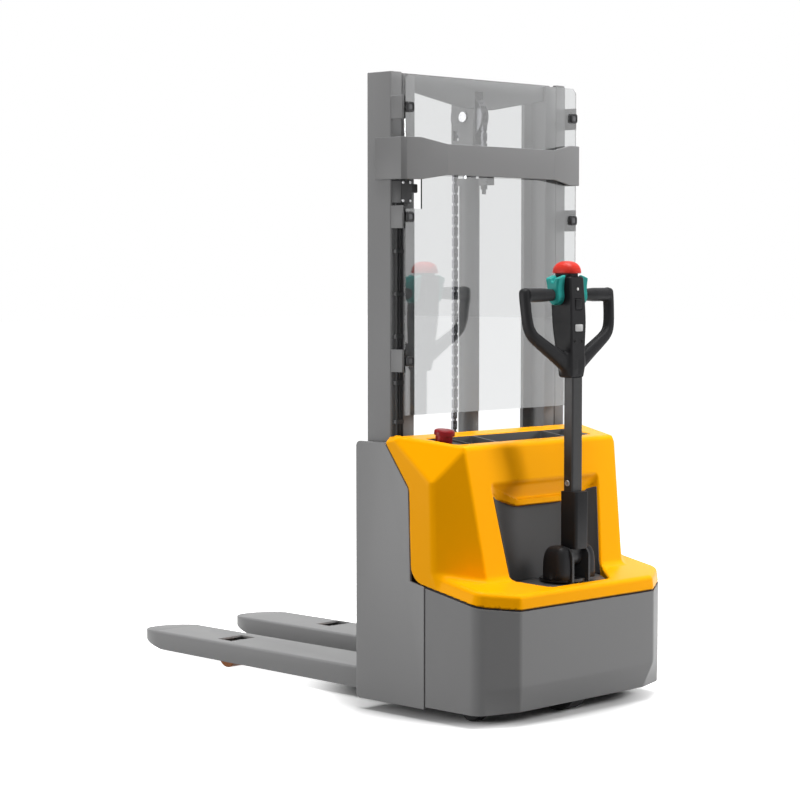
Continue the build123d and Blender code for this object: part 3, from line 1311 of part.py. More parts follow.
for side, sign in SIDES:
    centre_x = sign * CASTOR_X
    with BuildPart() as castor_fork:
        yoke_y = (CASTOR_Y + YOKE_Y[0], CASTOR_Y + YOKE_Y[1])
        block((centre_x - YOKE_X[1], centre_x + YOKE_X[1]), yoke_y, YOKE_Z)
        for end in (-1, 1):
            add(side_slab(yoke_leg_outline, centre_x + end * YOKE_X[0], end * (YOKE_X[1] - YOKE_X[0])))
        bar(centre_x, wheel_y, CASTOR_R, ALONG_X, CASTOR_AXLE_R, 2 * YOKE_X[1])
        post(centre_x, CASTOR_Y, (YOKE_Z[0], CASTOR_STEM_TOP), CASTOR_STEM_R)
    keep(castor_fork, f"{side}_castor_fork")

    with BuildPart() as castor_wheel:
        bar(centre_x, wheel_y, CASTOR_R, ALONG_X, CASTOR_R, 2 * CASTOR_HALF)
        fillet(castor_wheel.edges().filter_by(GeomType.CIRCLE), radius=CASTOR_EDGE_R)
        bar(centre_x, wheel_y, CASTOR_R, ALONG_X, CASTOR_AXLE_R + RUNNING_FIT, OVERCUT, mode=Mode.SUBTRACT)
    keep(castor_wheel, f"{side}_castor_wheel")
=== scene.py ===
import json
import bmesh
import bpy
import numpy as np
from mathutils import Matrix

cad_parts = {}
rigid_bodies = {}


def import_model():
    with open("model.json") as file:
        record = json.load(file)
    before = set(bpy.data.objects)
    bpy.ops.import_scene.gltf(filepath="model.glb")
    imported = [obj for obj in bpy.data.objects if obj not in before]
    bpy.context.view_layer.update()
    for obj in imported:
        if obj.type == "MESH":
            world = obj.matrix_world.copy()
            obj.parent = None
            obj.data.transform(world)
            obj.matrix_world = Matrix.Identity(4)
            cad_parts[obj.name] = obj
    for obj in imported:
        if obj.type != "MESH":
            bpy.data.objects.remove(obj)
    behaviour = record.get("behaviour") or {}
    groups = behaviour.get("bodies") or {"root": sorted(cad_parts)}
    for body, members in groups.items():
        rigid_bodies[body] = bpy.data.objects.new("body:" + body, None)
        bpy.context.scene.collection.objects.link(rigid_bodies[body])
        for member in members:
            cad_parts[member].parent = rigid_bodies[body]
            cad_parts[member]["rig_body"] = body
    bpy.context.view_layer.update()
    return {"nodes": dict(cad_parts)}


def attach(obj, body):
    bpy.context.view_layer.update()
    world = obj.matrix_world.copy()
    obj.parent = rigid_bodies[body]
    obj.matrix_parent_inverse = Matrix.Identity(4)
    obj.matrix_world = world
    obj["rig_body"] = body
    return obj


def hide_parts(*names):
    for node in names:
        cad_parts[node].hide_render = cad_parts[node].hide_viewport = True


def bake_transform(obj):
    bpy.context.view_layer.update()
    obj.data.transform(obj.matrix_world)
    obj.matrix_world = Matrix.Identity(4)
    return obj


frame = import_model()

scene = bpy.context.scene

# Side plates and chassis frame: steel plate, cut, bent and welded into one body, then powder coated in a satin mid
# grey. The plates have their cut edges eased.
MERGE_DISTANCE = 1e-5
FLAT_ANGLE = np.radians(0.4)
BEND_ANGLE = 30
PLATE_EASE = 0.0015
GRAIN_BUMP = 0.0003
GRAIN_DETAIL = 3
GLOSS_SPAN = (0.3, 0.7)


def grain_group():
    """Shader group for a real surface: a slow noise mottles the colour and the gloss, a fine noise gives speckle and
    the bump of a coat or a moulding grain."""
    group = bpy.data.node_groups.new("surface_grain", "ShaderNodeTree")
    for name, kind, value in (
        ("Light tone", "NodeSocketColor", (0.5, 0.5, 0.5, 1)),
        ("Dark tone", "NodeSocketColor", (0.4, 0.4, 0.4, 1)),
        ("Patches per metre", "NodeSocketFloat", 4),
        ("Grains per metre", "NodeSocketFloat", 700),
        ("Grain depth", "NodeSocketFloat", 0.1),
        ("Speckle", "NodeSocketFloat", 0.1),
        ("Smoothest", "NodeSocketFloat", 0.4),
        ("Roughest", "NodeSocketFloat", 0.5),
    ):
        group.interface.new_socket(name=name, in_out="INPUT", socket_type=kind).default_value = value
    for name, kind in (("Colour", "NodeSocketColor"), ("Roughness", "NodeSocketFloat"), ("Normal", "NodeSocketVector")):
        group.interface.new_socket(name=name, in_out="OUTPUT", socket_type=kind)
    node, link = group.nodes.new, group.links.new
    values, results = node("NodeGroupInput"), node("NodeGroupOutput")
    place = node("ShaderNodeTexCoord").outputs["Object"]
    patches, grains = node("ShaderNodeTexNoise"), node("ShaderNodeTexNoise")
    for noise, count in ((patches, "Patches per metre"), (grains, "Grains per metre")):
        link(place, noise.inputs["Vector"])
        link(values.outputs[count], noise.inputs["Scale"])
        noise.inputs["Detail"].default_value = GRAIN_DETAIL
    centred, tone, blend = node("ShaderNodeMath"), node("ShaderNodeMath"), node("ShaderNodeMix")
    centred.operation, tone.operation, blend.data_type = "SUBTRACT", "MULTIPLY_ADD", "RGBA"
    centred.inputs[1].default_value = 0.5
    link(grains.outputs["Fac"], centred.inputs[0])
    link(centred.outputs[0], tone.inputs[0])
    link(values.outputs["Speckle"], tone.inputs[1])
    link(patches.outputs["Fac"], tone.inputs[2])
    link(tone.outputs[0], blend.inputs["Factor"])
    link(values.outputs["Dark tone"], blend.inputs[6])
    link(values.outputs["Light tone"], blend.inputs[7])
    gloss = node("ShaderNodeMapRange")
    gloss.inputs["From Min"].default_value, gloss.inputs["From Max"].default_value = GLOSS_SPAN
    link(patches.outputs["Fac"], gloss.inputs["Value"])
    link(values.outputs["Smoothest"], gloss.inputs["To Min"])
    link(values.outputs["Roughest"], gloss.inputs["To Max"])
    bump = node("ShaderNodeBump")
    bump.inputs["Distance"].default_value = GRAIN_BUMP
    link(grains.outputs["Fac"], bump.inputs["Height"])
    link(values.outputs["Grain depth"], bump.inputs["Strength"])
    link(blend.outputs[2], results.inputs["Colour"])
    link(gloss.outputs["Result"], results.inputs["Roughness"])
    link(bump.outputs["Normal"], results.inputs["Normal"])
    return group


surface_grain = grain_group()


def finish(name, tone, spread, gloss, patches=5, grains=700, depth=0.15, speckle=0.2, metallic=0.0, specular=0.25,
           tint=(1, 1, 1)):
    """Material of one real finish: the colour spreads by a share either side of its tone, and the gloss is a pair of
    least and greatest roughness."""
    material = bpy.data.materials.new(name)
    material.use_nodes = True
    shader = material.node_tree.nodes["Principled BSDF"]
    grain = material.node_tree.nodes.new("ShaderNodeGroup")
    grain.node_tree = surface_grain
    tone = np.array(tone)
    light, dark = (*np.minimum(tone * (1 + spread), 1), 1), (*(tone * (1 - spread)), 1)
    for socket, value in zip(grain.inputs, (light, dark, patches, grains, depth, speckle, *gloss)):
        socket.default_value = value
    for output, socket in (("Colour", "Base Color"), ("Roughness", "Roughness"), ("Normal", "Normal")):
        material.node_tree.links.new(grain.outputs[output], shader.inputs[socket])
    for socket, value in (("Metallic", metallic), ("Specular IOR Level", specular), ("Specular Tint", (*tint, 1))):
        shader.inputs[socket].default_value = value
    return material


def dress(material, *nodes):
    """Give CAD pieces their finish and leave their shape alone."""
    for node in nodes:
        mesh = frame["nodes"][node].data
        mesh.materials.clear()
        mesh.materials.append(material)


def eased(material, width, *nodes, bend=BEND_ANGLE):
    """Copies of steel pieces with their triangles joined, their flats made whole and a round of this width run along
    each edge that bends by more than so many degrees."""
    for node in nodes:
        source = frame["nodes"][node]
        work = bmesh.new()
        work.from_mesh(source.data)
        bmesh.ops.remove_doubles(work, verts=work.verts, dist=MERGE_DISTANCE)
        bmesh.ops.dissolve_limit(work, angle_limit=FLAT_ANGLE, verts=work.verts, edges=work.edges)
        mesh = bpy.data.meshes.new(f"{node}_eased")
        work.to_mesh(mesh)
        work.free()
        mesh.polygons.foreach_set("use_smooth", np.ones(len(mesh.polygons), bool))
        mesh.materials.clear()
        mesh.materials.append(material)
        piece = bpy.data.objects.new(f"{node}_eased", mesh)
        scene.collection.objects.link(piece)
        edge = piece.modifiers.new("eased_edge", "BEVEL")
        edge.width, edge.segments = width, 2
        edge.limit_method, edge.angle_limit = "ANGLE", np.radians(bend)
        edge.harden_normals, edge.loop_slide = True, False
        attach(piece, source["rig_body"])
        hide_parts(node)


steel_paint = finish("grey_powder_coat", (0.208, 0.208, 0.209), 0.05, (0.42, 0.52), patches=3, grains=650, depth=0.12)
eased(steel_paint, PLATE_EASE, "left_side_plate", "right_side_plate")
dress(steel_paint, "chassis_frame")

# Rear skirt: a shroud folded from sheet steel round the drive, with rounded bends and the foot of its rear face tucked
# in, cut along a sloping line under the hood and screwed to the chassis. The plates' grey made darker: painted shade.
REAR_FACE = -0.4285
HALF_WIDTH = 0.400
SKIRT_WALL = 0.005
SKIRT_EDGE = 0.0014
SKIRT_FRONT = -0.160
SKIRT_BOTTOM = 0.037
SKIRT_REAR = -0.419
SKIRT_REAR_TOP = 0.322
SKIRT_SLOPE = 0.197
SKIRT_GAP = 0.0025
SKIRT_BENDS = (0.030, 0.045)
UPRIGHT_PLAN = (-0.352, 0.290, SKIRT_REAR)
TUCKED_PLAN = (-0.358, 0.268, -0.397)
TUCK_TOP = 0.110
TUCK_SOFTNESS = 0.006
TUCK_ROWS = (0.094, 0.098, 0.122, 0.130)


def add_piece(name, points, faces, material, body, slot, *nodes, crease=40, normals=None):
    """Put whole arrays into a mesh: points by three, and arrays of faces with three, four or more corners each. A
    closed piece whose volume comes out negative is turned right side out."""
    points = np.asarray(points, float).reshape(-1, 3)
    faces = [np.asarray(group, int) for group in faces]
    corners = [points[group] - points.mean(0) for group in faces]
    fans = [np.einsum("ijk,ilk->", np.cross(c[:, 1:-1], c[:, 2:]), c[:, :1]) for c in corners]
    if sum(fans) < 0:
        faces = [group[:, ::-1] for group in faces]
    sizes = np.concatenate([np.full(len(group), group.shape[1]) for group in faces])
    loops = np.concatenate([group.ravel() for group in faces])
    mesh = bpy.data.meshes.new(name)
    mesh.vertices.add(len(points))
    mesh.vertices.foreach_set("co", points.ravel())
    mesh.loops.add(len(loops))
    mesh.loops.foreach_set("vertex_index", loops)
    mesh.polygons.add(len(sizes))
    mesh.polygons.foreach_set("loop_start", np.cumsum(sizes) - sizes)
    mesh.update(calc_edges=True)
    mesh.polygons.foreach_set("use_smooth", np.ones(len(sizes), bool))
    if normals is None:
        mesh.set_sharp_from_angle(angle=np.radians(crease))
    else:
        mesh.normals_split_custom_set_from_vertices(normals)
    mesh.materials.append(material)
    piece = bpy.data.objects.new(name, mesh)
    scene.collection.objects.link(piece)
    if body:
        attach(piece, body)
    if nodes:
        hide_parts(*nodes)
    return piece


def grid_quads(rows, columns, ring=False):
    """Quads between the points of a grid, row after row, with the last column joined to the first on a ring."""
    row = np.arange(rows - 1)[:, None] * columns
    column = np.arange(columns if ring else columns - 1)[None, :]
    after = (column + 1) % columns
    quads = np.broadcast_arrays(row + column, row + after, row + columns + after, row + columns + column)
    return np.stack(quads, -1).reshape(-1, 4)


def bend_arc(before, corner, after, radius, steps=14):
    """Round bend at a corner of a plan: an arc that touches the straights to the points before and after it."""
    first, second = np.subtract(before, corner), np.subtract(after, corner)
    first, second = first / np.linalg.norm(first), second / np.linalg.norm(second)
    inner = np.arccos(first @ second)
    centre = corner + (first + second) / np.linalg.norm(first + second) * radius / np.sin(inner / 2)
    touch = [corner + way * radius / np.tan(inner / 2) - centre for way in (first, second)]
    share, sweep = np.linspace(0, 1, steps)[:, None], np.pi - inner
    return centre + (np.sin((1 - share) * sweep) * touch[0] + np.sin(share * sweep) * touch[1]) / np.sin(sweep)


def shroud_plan(corner_d, rear_half, rear_d):
    """Plan of the skirt from its left front end round to the right one, as pairs of x and depth: a straight rear, a
    facet at each corner and straight sides, with a round bend between each two."""
    middle, low = np.array((0, rear_d)), np.array((rear_half, rear_d))
    high, front = np.array((HALF_WIDTH, corner_d)), np.array((HALF_WIDTH, SKIRT_FRONT))
    bends = (bend_arc(middle, low, high, SKIRT_BENDS[0]), bend_arc(low, high, front, SKIRT_BENDS[1]))
    right = np.concatenate((*bends, front[None]))
    return np.concatenate((right[::-1] * (-1, 1), right))


def thicken(piece, wall, offset):
    """Give an open skin its wall, inwards for an offset of -1 and to both sides for nought."""
    modifier = piece.modifiers.new("wall", "SOLIDIFY")
    modifier.thickness, modifier.offset = wall, offset


# Painted shade: the plates' grey coat made darker for the skirt, the mast, its crossbar and the guard brackets, to
# stand in for the lesser light that falls on them.
shaded_grey_paint = finish("shaded_grey_coat", (0.172, 0.172, 0.173), 0.05, (0.42, 0.52), patches=3, grains=650, depth=0.12)
upright, tucked = shroud_plan(*UPRIGHT_PLAN), shroud_plan(*TUCKED_PLAN)
skirt_top = SKIRT_REAR_TOP + SKIRT_SLOPE * (upright[:, 1] - SKIRT_REAR) - SKIRT_GAP
foot_rows, tuck_rows = np.linspace(SKIRT_BOTTOM, TUCK_ROWS[0], 4), np.linspace(*TUCK_ROWS[1:3], 9)
low_rows = np.concatenate((foot_rows, tuck_rows, TUCK_ROWS[3:]))
skirt_z = np.concatenate((np.broadcast_to(low_rows[:, None], (len(low_rows), len(upright))), skirt_top[None]))
below = TUCK_TOP - skirt_z
tuck = (below + np.hypot(below, TUCK_SOFTNESS)) / 2 / (TUCK_TOP - SKIRT_BOTTOM)
tuck = np.where(skirt_z > low_rows[-2], 0, tuck)
plan = upright + tuck[..., None] * (tucked - upright)
skirt_points = np.stack((plan[..., 0], REAR_FACE + plan[..., 1], skirt_z), -1)
skirt_faces = [grid_quads(*skirt_z.shape)]
skirt = add_piece("rear_skirt_shroud", skirt_points, skirt_faces, shaded_grey_paint, "chassis", "grey_paint", "rear_skirt")
thicken(skirt, SKIRT_WALL, -1)
skirt_edge = skirt.modifiers.new("skirt_edge", "BEVEL")
skirt_edge.width, skirt_edge.segments, skirt_edge.harden_normals = SKIRT_EDGE, 2, True

# Support legs and load rollers: pressed steel channels in the plates' grey coat, each with a cast urethane
# roller on a plain steel pin that is riveted over at both ends.
LEG_EASE = 0.002
eased(steel_paint, LEG_EASE, "left_support_leg", "right_support_leg")
roller_urethane = finish("orange_urethane", (0.30, 0.095, 0.018), 0.15, (0.3, 0.45), patches=30, grains=400, depth=0.05)
bright_steel = finish("turned_steel", (0.5, 0.5, 0.51), 0.1, (0.25, 0.38), patches=40, grains=900, depth=0.1,
                      metallic=1)
dress(roller_urethane, "left_load_roller", "right_load_roller")
dress(bright_steel, "load_roller_axles")

# Castors and drive unit: zinc plated yokes with black rubber wheels at the rear corners, and the steered drive
# wheel with its iron gearbox and motor in the middle, all bolted up under the bridge plate.
tyre_rubber = finish("black_rubber", (0.018, 0.018, 0.019), 0.2, (0.55, 0.75), patches=25, grains=500, depth=0.3)
cast_iron = finish("cast_iron", (0.07, 0.07, 0.072), 0.2, (0.5, 0.7), patches=20, grains=300, depth=0.4, metallic=0.6)
black_steel = finish("black_steel", (0.028, 0.028, 0.029), 0.12, (0.32, 0.45), patches=8, grains=700, depth=0.12)
dress(bright_steel, "left_castor_fork", "right_castor_fork")
dress(tyre_rubber, "left_castor_wheel", "right_castor_wheel", "drive_tyre")
dress(cast_iron, "drive_gearbox", "drive_wheel")
dress(black_steel, "drive_motor")

# Power gear in the bay: battery case, motor controller and pump unit, which stand on the chassis floor behind the
# mast and show only from the front and from underneath.
case_black = finish("black_moulding", (0.022, 0.022, 0.023), 0.15, (0.35, 0.5), patches=10, grains=800, depth=0.2)
controller_aluminium = finish("cast_aluminium", (0.5, 0.5, 0.51), 0.08, (0.35, 0.5), patches=30, metallic=1)
dress(case_black, "battery_pack")
dress(controller_aluminium, "motor_controller")
dress(black_steel, "pump_unit")

# Mast: rolled channels, the outer pair welded to the foot beam, the inner pair sliding between them on rollers and
# tied at head and foot. The skirt's grey, made darker as painted shade, with steel guide rollers.
RAIL_EASE = 0.002
TIE_EASE = 0.0015
eased(shaded_grey_paint, RAIL_EASE, "left_outer_mast", "right_outer_mast", "left_inner_mast", "right_inner_mast")
eased(shaded_grey_paint, TIE_EASE, "inner_mast_crossmembers", "chain_anchor")
dress(bright_steel, "mast_lower_rollers", "carriage_upper_rollers", "carriage_lower_rollers", "pulley_axle")

# Lift cylinder: a drawn tube with a screwed gland, painted with the mast, and a hard chromed rod that pushes the
# inner mast up.
rod_chrome = finish("hard_chrome", (0.68, 0.68, 0.7), 0.04, (0.06, 0.12), patches=60, depth=0.02, metallic=1)
dress(shaded_grey_paint, "lift_cylinder")
dress(rod_chrome, "piston_rod")

# Leaf chain: oiled steel plates on riveted pins, from the anchor at the mast's rear, over the pulley in the
# crosshead and down to the carriage.
CHAIN_PITCH = 0.0159
CHAIN_RADIUS = 0.058
PLATE_HALF_HEIGHT = 0.0058
PLATE_WAIST = 0.0041
PLATE_THICK = 0.0026
PLATE_ROWS = ((-0.0076, 0.0, 0.0076), (-0.0038, 0.0038))
PLATE_SIDES = 14
EYE_SHARE = 0.9
EYE_POWERS = (0.55, 0.5)
PIN_RADIUS = 0.0025
PIN_HALF = 0.0094
PIN_SIDES = 8
WRAP_PINS = 12
PULLEY_CENTRE = (REAR_FACE + 0.050, 1.7)
chain_steel = finish("oiled_chain", (0.17, 0.17, 0.18), 0.25, (0.3, 0.45), patches=120, grains=900, metallic=0.9)


def at_x(x, rings):
    """Rings of y and z set at one x, as a list of points."""
    return np.concatenate((np.full((*rings.shape[:2], 1), x), rings), -1).reshape(-1, 3)


def prisms(first, count, sides):
    """Faces of so many prisms, whose near rings come first and whose far rings follow: the walls, then both ends."""
    low = np.arange(count)[:, None] * sides + np.arange(sides) + first
    high = low + count * sides
    walls = np.stack((low, np.roll(low, -1, 1), np.roll(high, -1, 1), high), -1).reshape(-1, 4)
    return [walls, low[:, ::-1], high]


def chain_run(first, second):
    """Leaf chain through pin centres: from each centre in first to its fellow in second goes a stack of plates, three
    and two by turns. A plate's outline is two round eyes with a cosine waist between them, drawn along the link."""
    turn = np.arange(PLATE_SIDES) * 2 * np.pi / PLATE_SIDES
    along = np.cos(turn)
    half = PLATE_WAIST + (PLATE_HALF_HEIGHT - PLATE_WAIST) * np.abs(along) ** 2
    reach = CHAIN_PITCH / 2 + PLATE_HALF_HEIGHT * EYE_SHARE
    rise = half * np.sign(np.sin(turn)) * np.abs(np.sin(turn)) ** EYE_POWERS[1]
    outline = np.stack((reach * np.sign(along) * np.abs(along) ** EYE_POWERS[0], rise), -1)
    points, faces, offset = [], [], 0
    for parity, stack in enumerate(PLATE_ROWS):
        start, stop = first[parity::2], second[parity::2]
        middle, link = (start + stop) / 2, stop - start
        link = link / np.linalg.norm(link, axis=1, keepdims=True)
        across = np.stack((-link[:, 1], link[:, 0]), -1)
        flat = middle[:, None] + outline[None, :, :1] * link[:, None] + outline[None, :, 1:] * across[:, None]
        for x in stack:
            points += [at_x(x - PLATE_THICK / 2, flat), at_x(x + PLATE_THICK / 2, flat)]
            faces += prisms(offset, len(middle), PLATE_SIDES)
            offset += 2 * len(middle) * PLATE_SIDES
    pins = np.concatenate((first, second[-1:]))
    spoke = np.arange(PIN_SIDES) * 2 * np.pi / PIN_SIDES
    rims = pins[:, None] + np.stack((np.cos(spoke), np.sin(spoke)), -1) * PIN_RADIUS
    points += [at_x(-PIN_HALF, rims), at_x(PIN_HALF, rims)]
    faces += prisms(offset, len(pins), PIN_SIDES)
    return np.concatenate(points), faces


def straight_pins(y, low, high):
    """Pin centres up a straight run, as pairs of y and z, an even pitch apart."""
    count = int(round((high - low) / CHAIN_PITCH))
    z = np.linspace(low, high, count + 1)
    pins = np.stack((np.full_like(z, y), z), -1)
    return pins[:-1], pins[1:]


rear_y, front_y = PULLEY_CENTRE[0] - CHAIN_RADIUS, PULLEY_CENTRE[0] + CHAIN_RADIUS
rear_low, front_low, run_top = 1.541, 0.466, 1.694
rear_links = chain_run(*straight_pins(rear_y, rear_low, run_top))
rear_run = add_piece("rear_chain_run", *rear_links, chain_steel, None, "chain_steel", "fixed_chain_run")
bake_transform(rear_run)
front_links = chain_run(*straight_pins(front_y, front_low, run_top))
front_run = add_piece("front_chain_run", *front_links, chain_steel, None, "chain_steel", "carriage_chain_run")
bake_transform(front_run)
wrap_turn = np.linspace(np.pi, 0, WRAP_PINS)
wrap_pins = np.stack((np.cos(wrap_turn), np.sin(wrap_turn)), -1) * CHAIN_RADIUS + np.array(PULLEY_CENTRE)
wrap_links = chain_run(wrap_pins[:-1], wrap_pins[1:])
add_piece("pulley_chain_wrap", *wrap_links, chain_steel, "inner_mast", "chain_steel", "chain_wrap")
dress(chain_steel, "chain_pulley")

# Fork carriage and forks: two welded bars with roller brackets, and forks folded from plate over the support legs,
# with closed tips. The plates' grey coat, eased all round.
CARRIAGE_EASE = 0.002
FORK_EASE = 0.003
eased(steel_paint, CARRIAGE_EASE, "carriage_frame")
eased(steel_paint, FORK_EASE, "left_fork", "right_fork")

# Mast crossbar: a thick strap bent round the outer mast and bowed to the rear, welded to both rails and coated with
# them.
CROSSBAR_EASE = 0.0015
CROSSBAR_BEND = 5
eased(shaded_grey_paint, CROSSBAR_EASE, "mast_crossbar", bend=CROSSBAR_BEND)

# Mast guard: a clear polycarbonate sheet held at six places by steel brackets, each with a black moulded clip whose
# grey core is pushed through the sheet.
GUARD_DEPTH = -0.050
CLIP_X = 0.351
CLIP_HEIGHTS = (1.708, 1.402, 0.998)
CLIP_HALF = 0.0144
CLIP_RISE = 0.0078
CLIP_POWER = 4.5
BRACKET_EASE = 0.001
clear_guard = bpy.data.materials.new("clear_polycarbonate")
clear_guard.use_nodes = True
glass = clear_guard.node_tree.nodes["Principled BSDF"]
for socket, value in (
    ("Base Color", (0.72, 0.73, 0.735, 1)),
    ("Roughness", 0.01),
    ("IOR", 1.58),
    ("Transmission Weight", 1),
    ("Coat Weight", 1),
    ("Coat IOR", 1.8),
    ("Coat Roughness", 0.01),
):
    glass.inputs[socket].default_value = value
dress(clear_guard, "mast_guard")
eased(shaded_grey_paint, BRACKET_EASE, "guard_brackets")


def oval(steps, power):
    """Cosine and sine round a superellipse, whose power is 2 for a circle and more for a rounded square."""
    turn = np.arange(steps) * 2 * np.pi / steps
    c, s = np.cos(turn), np.sin(turn)
    scale = (np.abs(c) ** power + np.abs(s) ** power) ** (-1 / power)
    return scale * c, scale * s


def capped(rows, steps):
    """Faces of a row of rings, closed at each end by a fan round one of two last points."""
    spoke = np.arange(steps)
    after, last, hub = (spoke + 1) % steps, (rows - 1) * steps, rows * steps
    foot = np.stack((np.full(steps, hub), after, spoke), -1)
    head = np.stack((np.full(steps, hub + 1), last + spoke, last + after), -1)
    return [grid_quads(rows, steps, ring=True), foot, head]


def dished(profile, centre, axis, steps=40, power=2.0, across=(1, 0, 0)):
    """Turned or squared piece: pairs of half size and height, swept round an axis in superellipses of this power, with
    both ends closed."""
    profile = np.asarray(profile, float)
    axis, across = np.asarray(axis, float), np.asarray(across, float)
    axis = axis / np.linalg.norm(axis)
    across = across - axis * (across @ axis)
    across = across / np.linalg.norm(across)
    wide, deep = oval(steps, power)
    ring = wide[:, None] * across + deep[:, None] * np.cross(axis, across)
    points = np.asarray(centre) + profile[:, None, :1] * ring + profile[:, None, 1:] * axis
    ends = np.asarray(centre) + profile[[0, -1], 1:] * axis
    return np.concatenate((points.reshape(-1, 3), ends)), capped(len(profile), steps)


def joined(shapes):
    """Several shapes as one: their points one after another, and their faces counted on."""
    points, faces, offset = [], [], 0
    for shape_points, shape_faces in shapes:
        points.append(shape_points)
        faces += [group + offset for group in shape_faces]
        offset += len(shape_points)
    return np.concatenate(points), faces


def dished_row(profile, places, axis, steps=40, power=2.0):
    """The same turned or squared piece at several places, as one shape."""
    return joined([dished(profile, place, axis, steps, power) for place in places])


clip_profile = [(0.0136, 0), (CLIP_HALF, 0.0015), (CLIP_HALF, 0.0058), (0.0128, CLIP_RISE), (0.0098, CLIP_RISE),
                (0.0080, 0.0064), (0.0076, 0.0040)]
core_profile = [(0.0073, 0.0005), (0.0073, 0.0055), (0.0062, 0.0066)]
clip_places = [(side * CLIP_X, REAR_FACE + GUARD_DEPTH, z) for side in (-1, 1) for z in CLIP_HEIGHTS]
backwards = (0, -1, 0)
clips = dished_row(clip_profile, clip_places, backwards, power=CLIP_POWER)
cores = dished_row(core_profile, clip_places, backwards, power=CLIP_POWER)
add_piece("guard_clip_frames", *clips, case_black, "chassis", "black_plastic", "guard_clips")
core_grey = finish("grey_nylon", (0.10, 0.10, 0.105), 0.06, (0.35, 0.45), patches=60)
add_piece("guard_clip_cores", *cores, core_grey, "chassis", "black_plastic")

# Height switch and mast cables: a moulded limit switch screwed to the left rail, and three rubber cables strapped
# to the rail's rear face down to the hood.
SWITCH_REAR = -0.040
SWITCH_FOOT = 1.440
SWITCH_EASE = 0.003
CABLE_X = (-0.362, -0.352, -0.342)
CABLE_DEPTH = -0.012
STRAP_HEIGHTS = (1.3, 1.18, 1.06, 0.93, 0.82)
STRAP_DEPTH = -0.0095
STRAP_HALVES = (0.0148, 0.0072)
STRAP_THICK = 0.0014
STRAP_WIDTH = 0.011
cable_rubber = finish("cable_rubber", (0.016, 0.016, 0.017), 0.2, (0.4, 0.55), patches=60, grains=600, depth=0.1)
dress(cable_rubber, "mast_cables")
eased(case_black, SWITCH_EASE, "height_switch")
screw_profile = [(0.0042, 0), (0.0042, 0.0012), (0.0034, 0.0024), (0.002, 0.0027), (0.0019, 0.0012)]
switch_places = [(x, REAR_FACE + SWITCH_REAR, z) for x in (-0.366, -0.338) for z in (1.447, 1.498)]
switch_screws = dished_row(screw_profile, switch_places, backwards, steps=16)
add_piece("switch_screws", *switch_screws, bright_steel, "chassis", "bright_steel")
gland_profile = [(0.0062, 0), (0.0062, 0.006), (0.0052, 0.007), (0.0052, 0.013), (0.0044, 0.015), (0.0042, 0.0155)]
gland_places = [(x, REAR_FACE + CABLE_DEPTH, SWITCH_FOOT) for x in CABLE_X]
glands = dished_row(gland_profile, gland_places, (0, 0, -1), steps=24)
add_piece("switch_glands", *glands, case_black, "chassis", "black_plastic")


def strap(centre, half, thick, height):
    """Flat band round a bundle: a superellipse loop in plan, as four rings for the inner and outer faces at the lower
    and the upper edge, joined in a closed ring of quads."""
    steps = 48
    wide, deep = oval(steps, 5)
    rows = []
    for grow, z in ((0, 0), (thick, 0), (thick, height), (0, height)):
        rows.append(np.stack(((half[0] + grow) * wide, (half[1] + grow) * deep, np.full(steps, z)), -1))
    points = np.array(rows) + np.asarray(centre)
    quads = grid_quads(5, steps, ring=True) % (4 * steps)
    return points.reshape(-1, 3), [quads]


strap_places = [(CABLE_X[1], REAR_FACE + STRAP_DEPTH, z) for z in STRAP_HEIGHTS]
straps = [strap(place, STRAP_HALVES, STRAP_THICK, STRAP_WIDTH) for place in strap_places]
add_piece("cable_straps", *joined(straps), case_black, "chassis", "black_plastic")

# Hood: one yellow structural-foam moulding over the drive and the bay, a low apron round a tower that leans back,
# with soft edges, a deep recess for the tiller and an opening for the tray. It stands on the chassis by a hidden lip.
HOOD_CELL = 0.005
HOOD_ROOM = (0.412, (-0.432, 0.004), (0.306, 0.805))
HOOD_WALL = 0.013
HOOD_HALF = 0.3995
TOP_REAR = (0.0, -0.222, 0.766)
TOP_FRONT = (0.0, -0.056, 0.787)
FACE_FOOT = (-0.2935, 0.405)
FACE_TOP = (-0.2367, 0.7642)
FACE_LEAN = (FACE_TOP[0] - FACE_FOOT[0]) / (FACE_TOP[1] - FACE_FOOT[1])
FACET_OUTER = ((HOOD_HALF, -0.1900, 0.4179), (HOOD_HALF, -0.1817, 0.6506))
FACET_INNER = ((0.2968, -0.2920, 0.4153), (0.3215, -0.2432, 0.7238))
FACET_MIDDLE = (0.3092, -0.2674, 0.570)
SHOULDER_SIDE = (HOOD_HALF, -0.183, 0.6592)
SHOULDER_FRONT = (0.3876, -0.050, 0.7878)
SHOULDER_REAR = (0.3212, -0.2368, 0.7641)
EAR_SIDE = (HOOD_HALF, -0.0015, 0.768)
EAR_TOP = (0.372, -0.0015, 0.791)
HOOD_MIDDLE = (0.0, -0.120, 0.560)
APRON_RISE = 0.041
APRON_DRAFT = np.radians(16)
APRON_ROUND = 0.016
APRON_FILLET = 0.016
NICHE_HALF = 0.198
NICHE_FLARE = 0.131
NICHE_BACK = (-0.222, 0.364)
NICHE_BACK_LEAN = 0.058
NICHE_TOP = 0.663
NICHE_TOP_ROUND = 0.022
NICHE_SPLAY = (0.769, 0.640)
NICHE_REAR = -0.345
NICHE_FLOOR = (-0.382, -0.24, 0.44)
NICHE_FLOOR_ROUND = 0.008
NICHE_ROUND = 0.007
SOFFIT = ((-0.2525, 0.664), (-0.226, 0.600))
SOFFIT_LIP = (0.593, 0.010, -0.236)
SOFFIT_LIP_RISE = (0.10, 0.3)
SOFFIT_LIP_ROUND = 0.008
SOFFIT_ROUND = 0.012
PLATE_TOP_EDGE = (0.001, 0.768)
PLATE_SHOULDER = (-0.093, 0.643)
PLATE_FOOT = (-0.101, 0.384)
PLATE_INNER = 0.376
PLATE_BEND = 0.030
PLATE_FILLET = 0.044
EAR_FOOT = 0.70
RIM_ROUND = 0.002
FOOT_LIP = (0.0105, 0.004, 0.002, 0.010, -0.165)
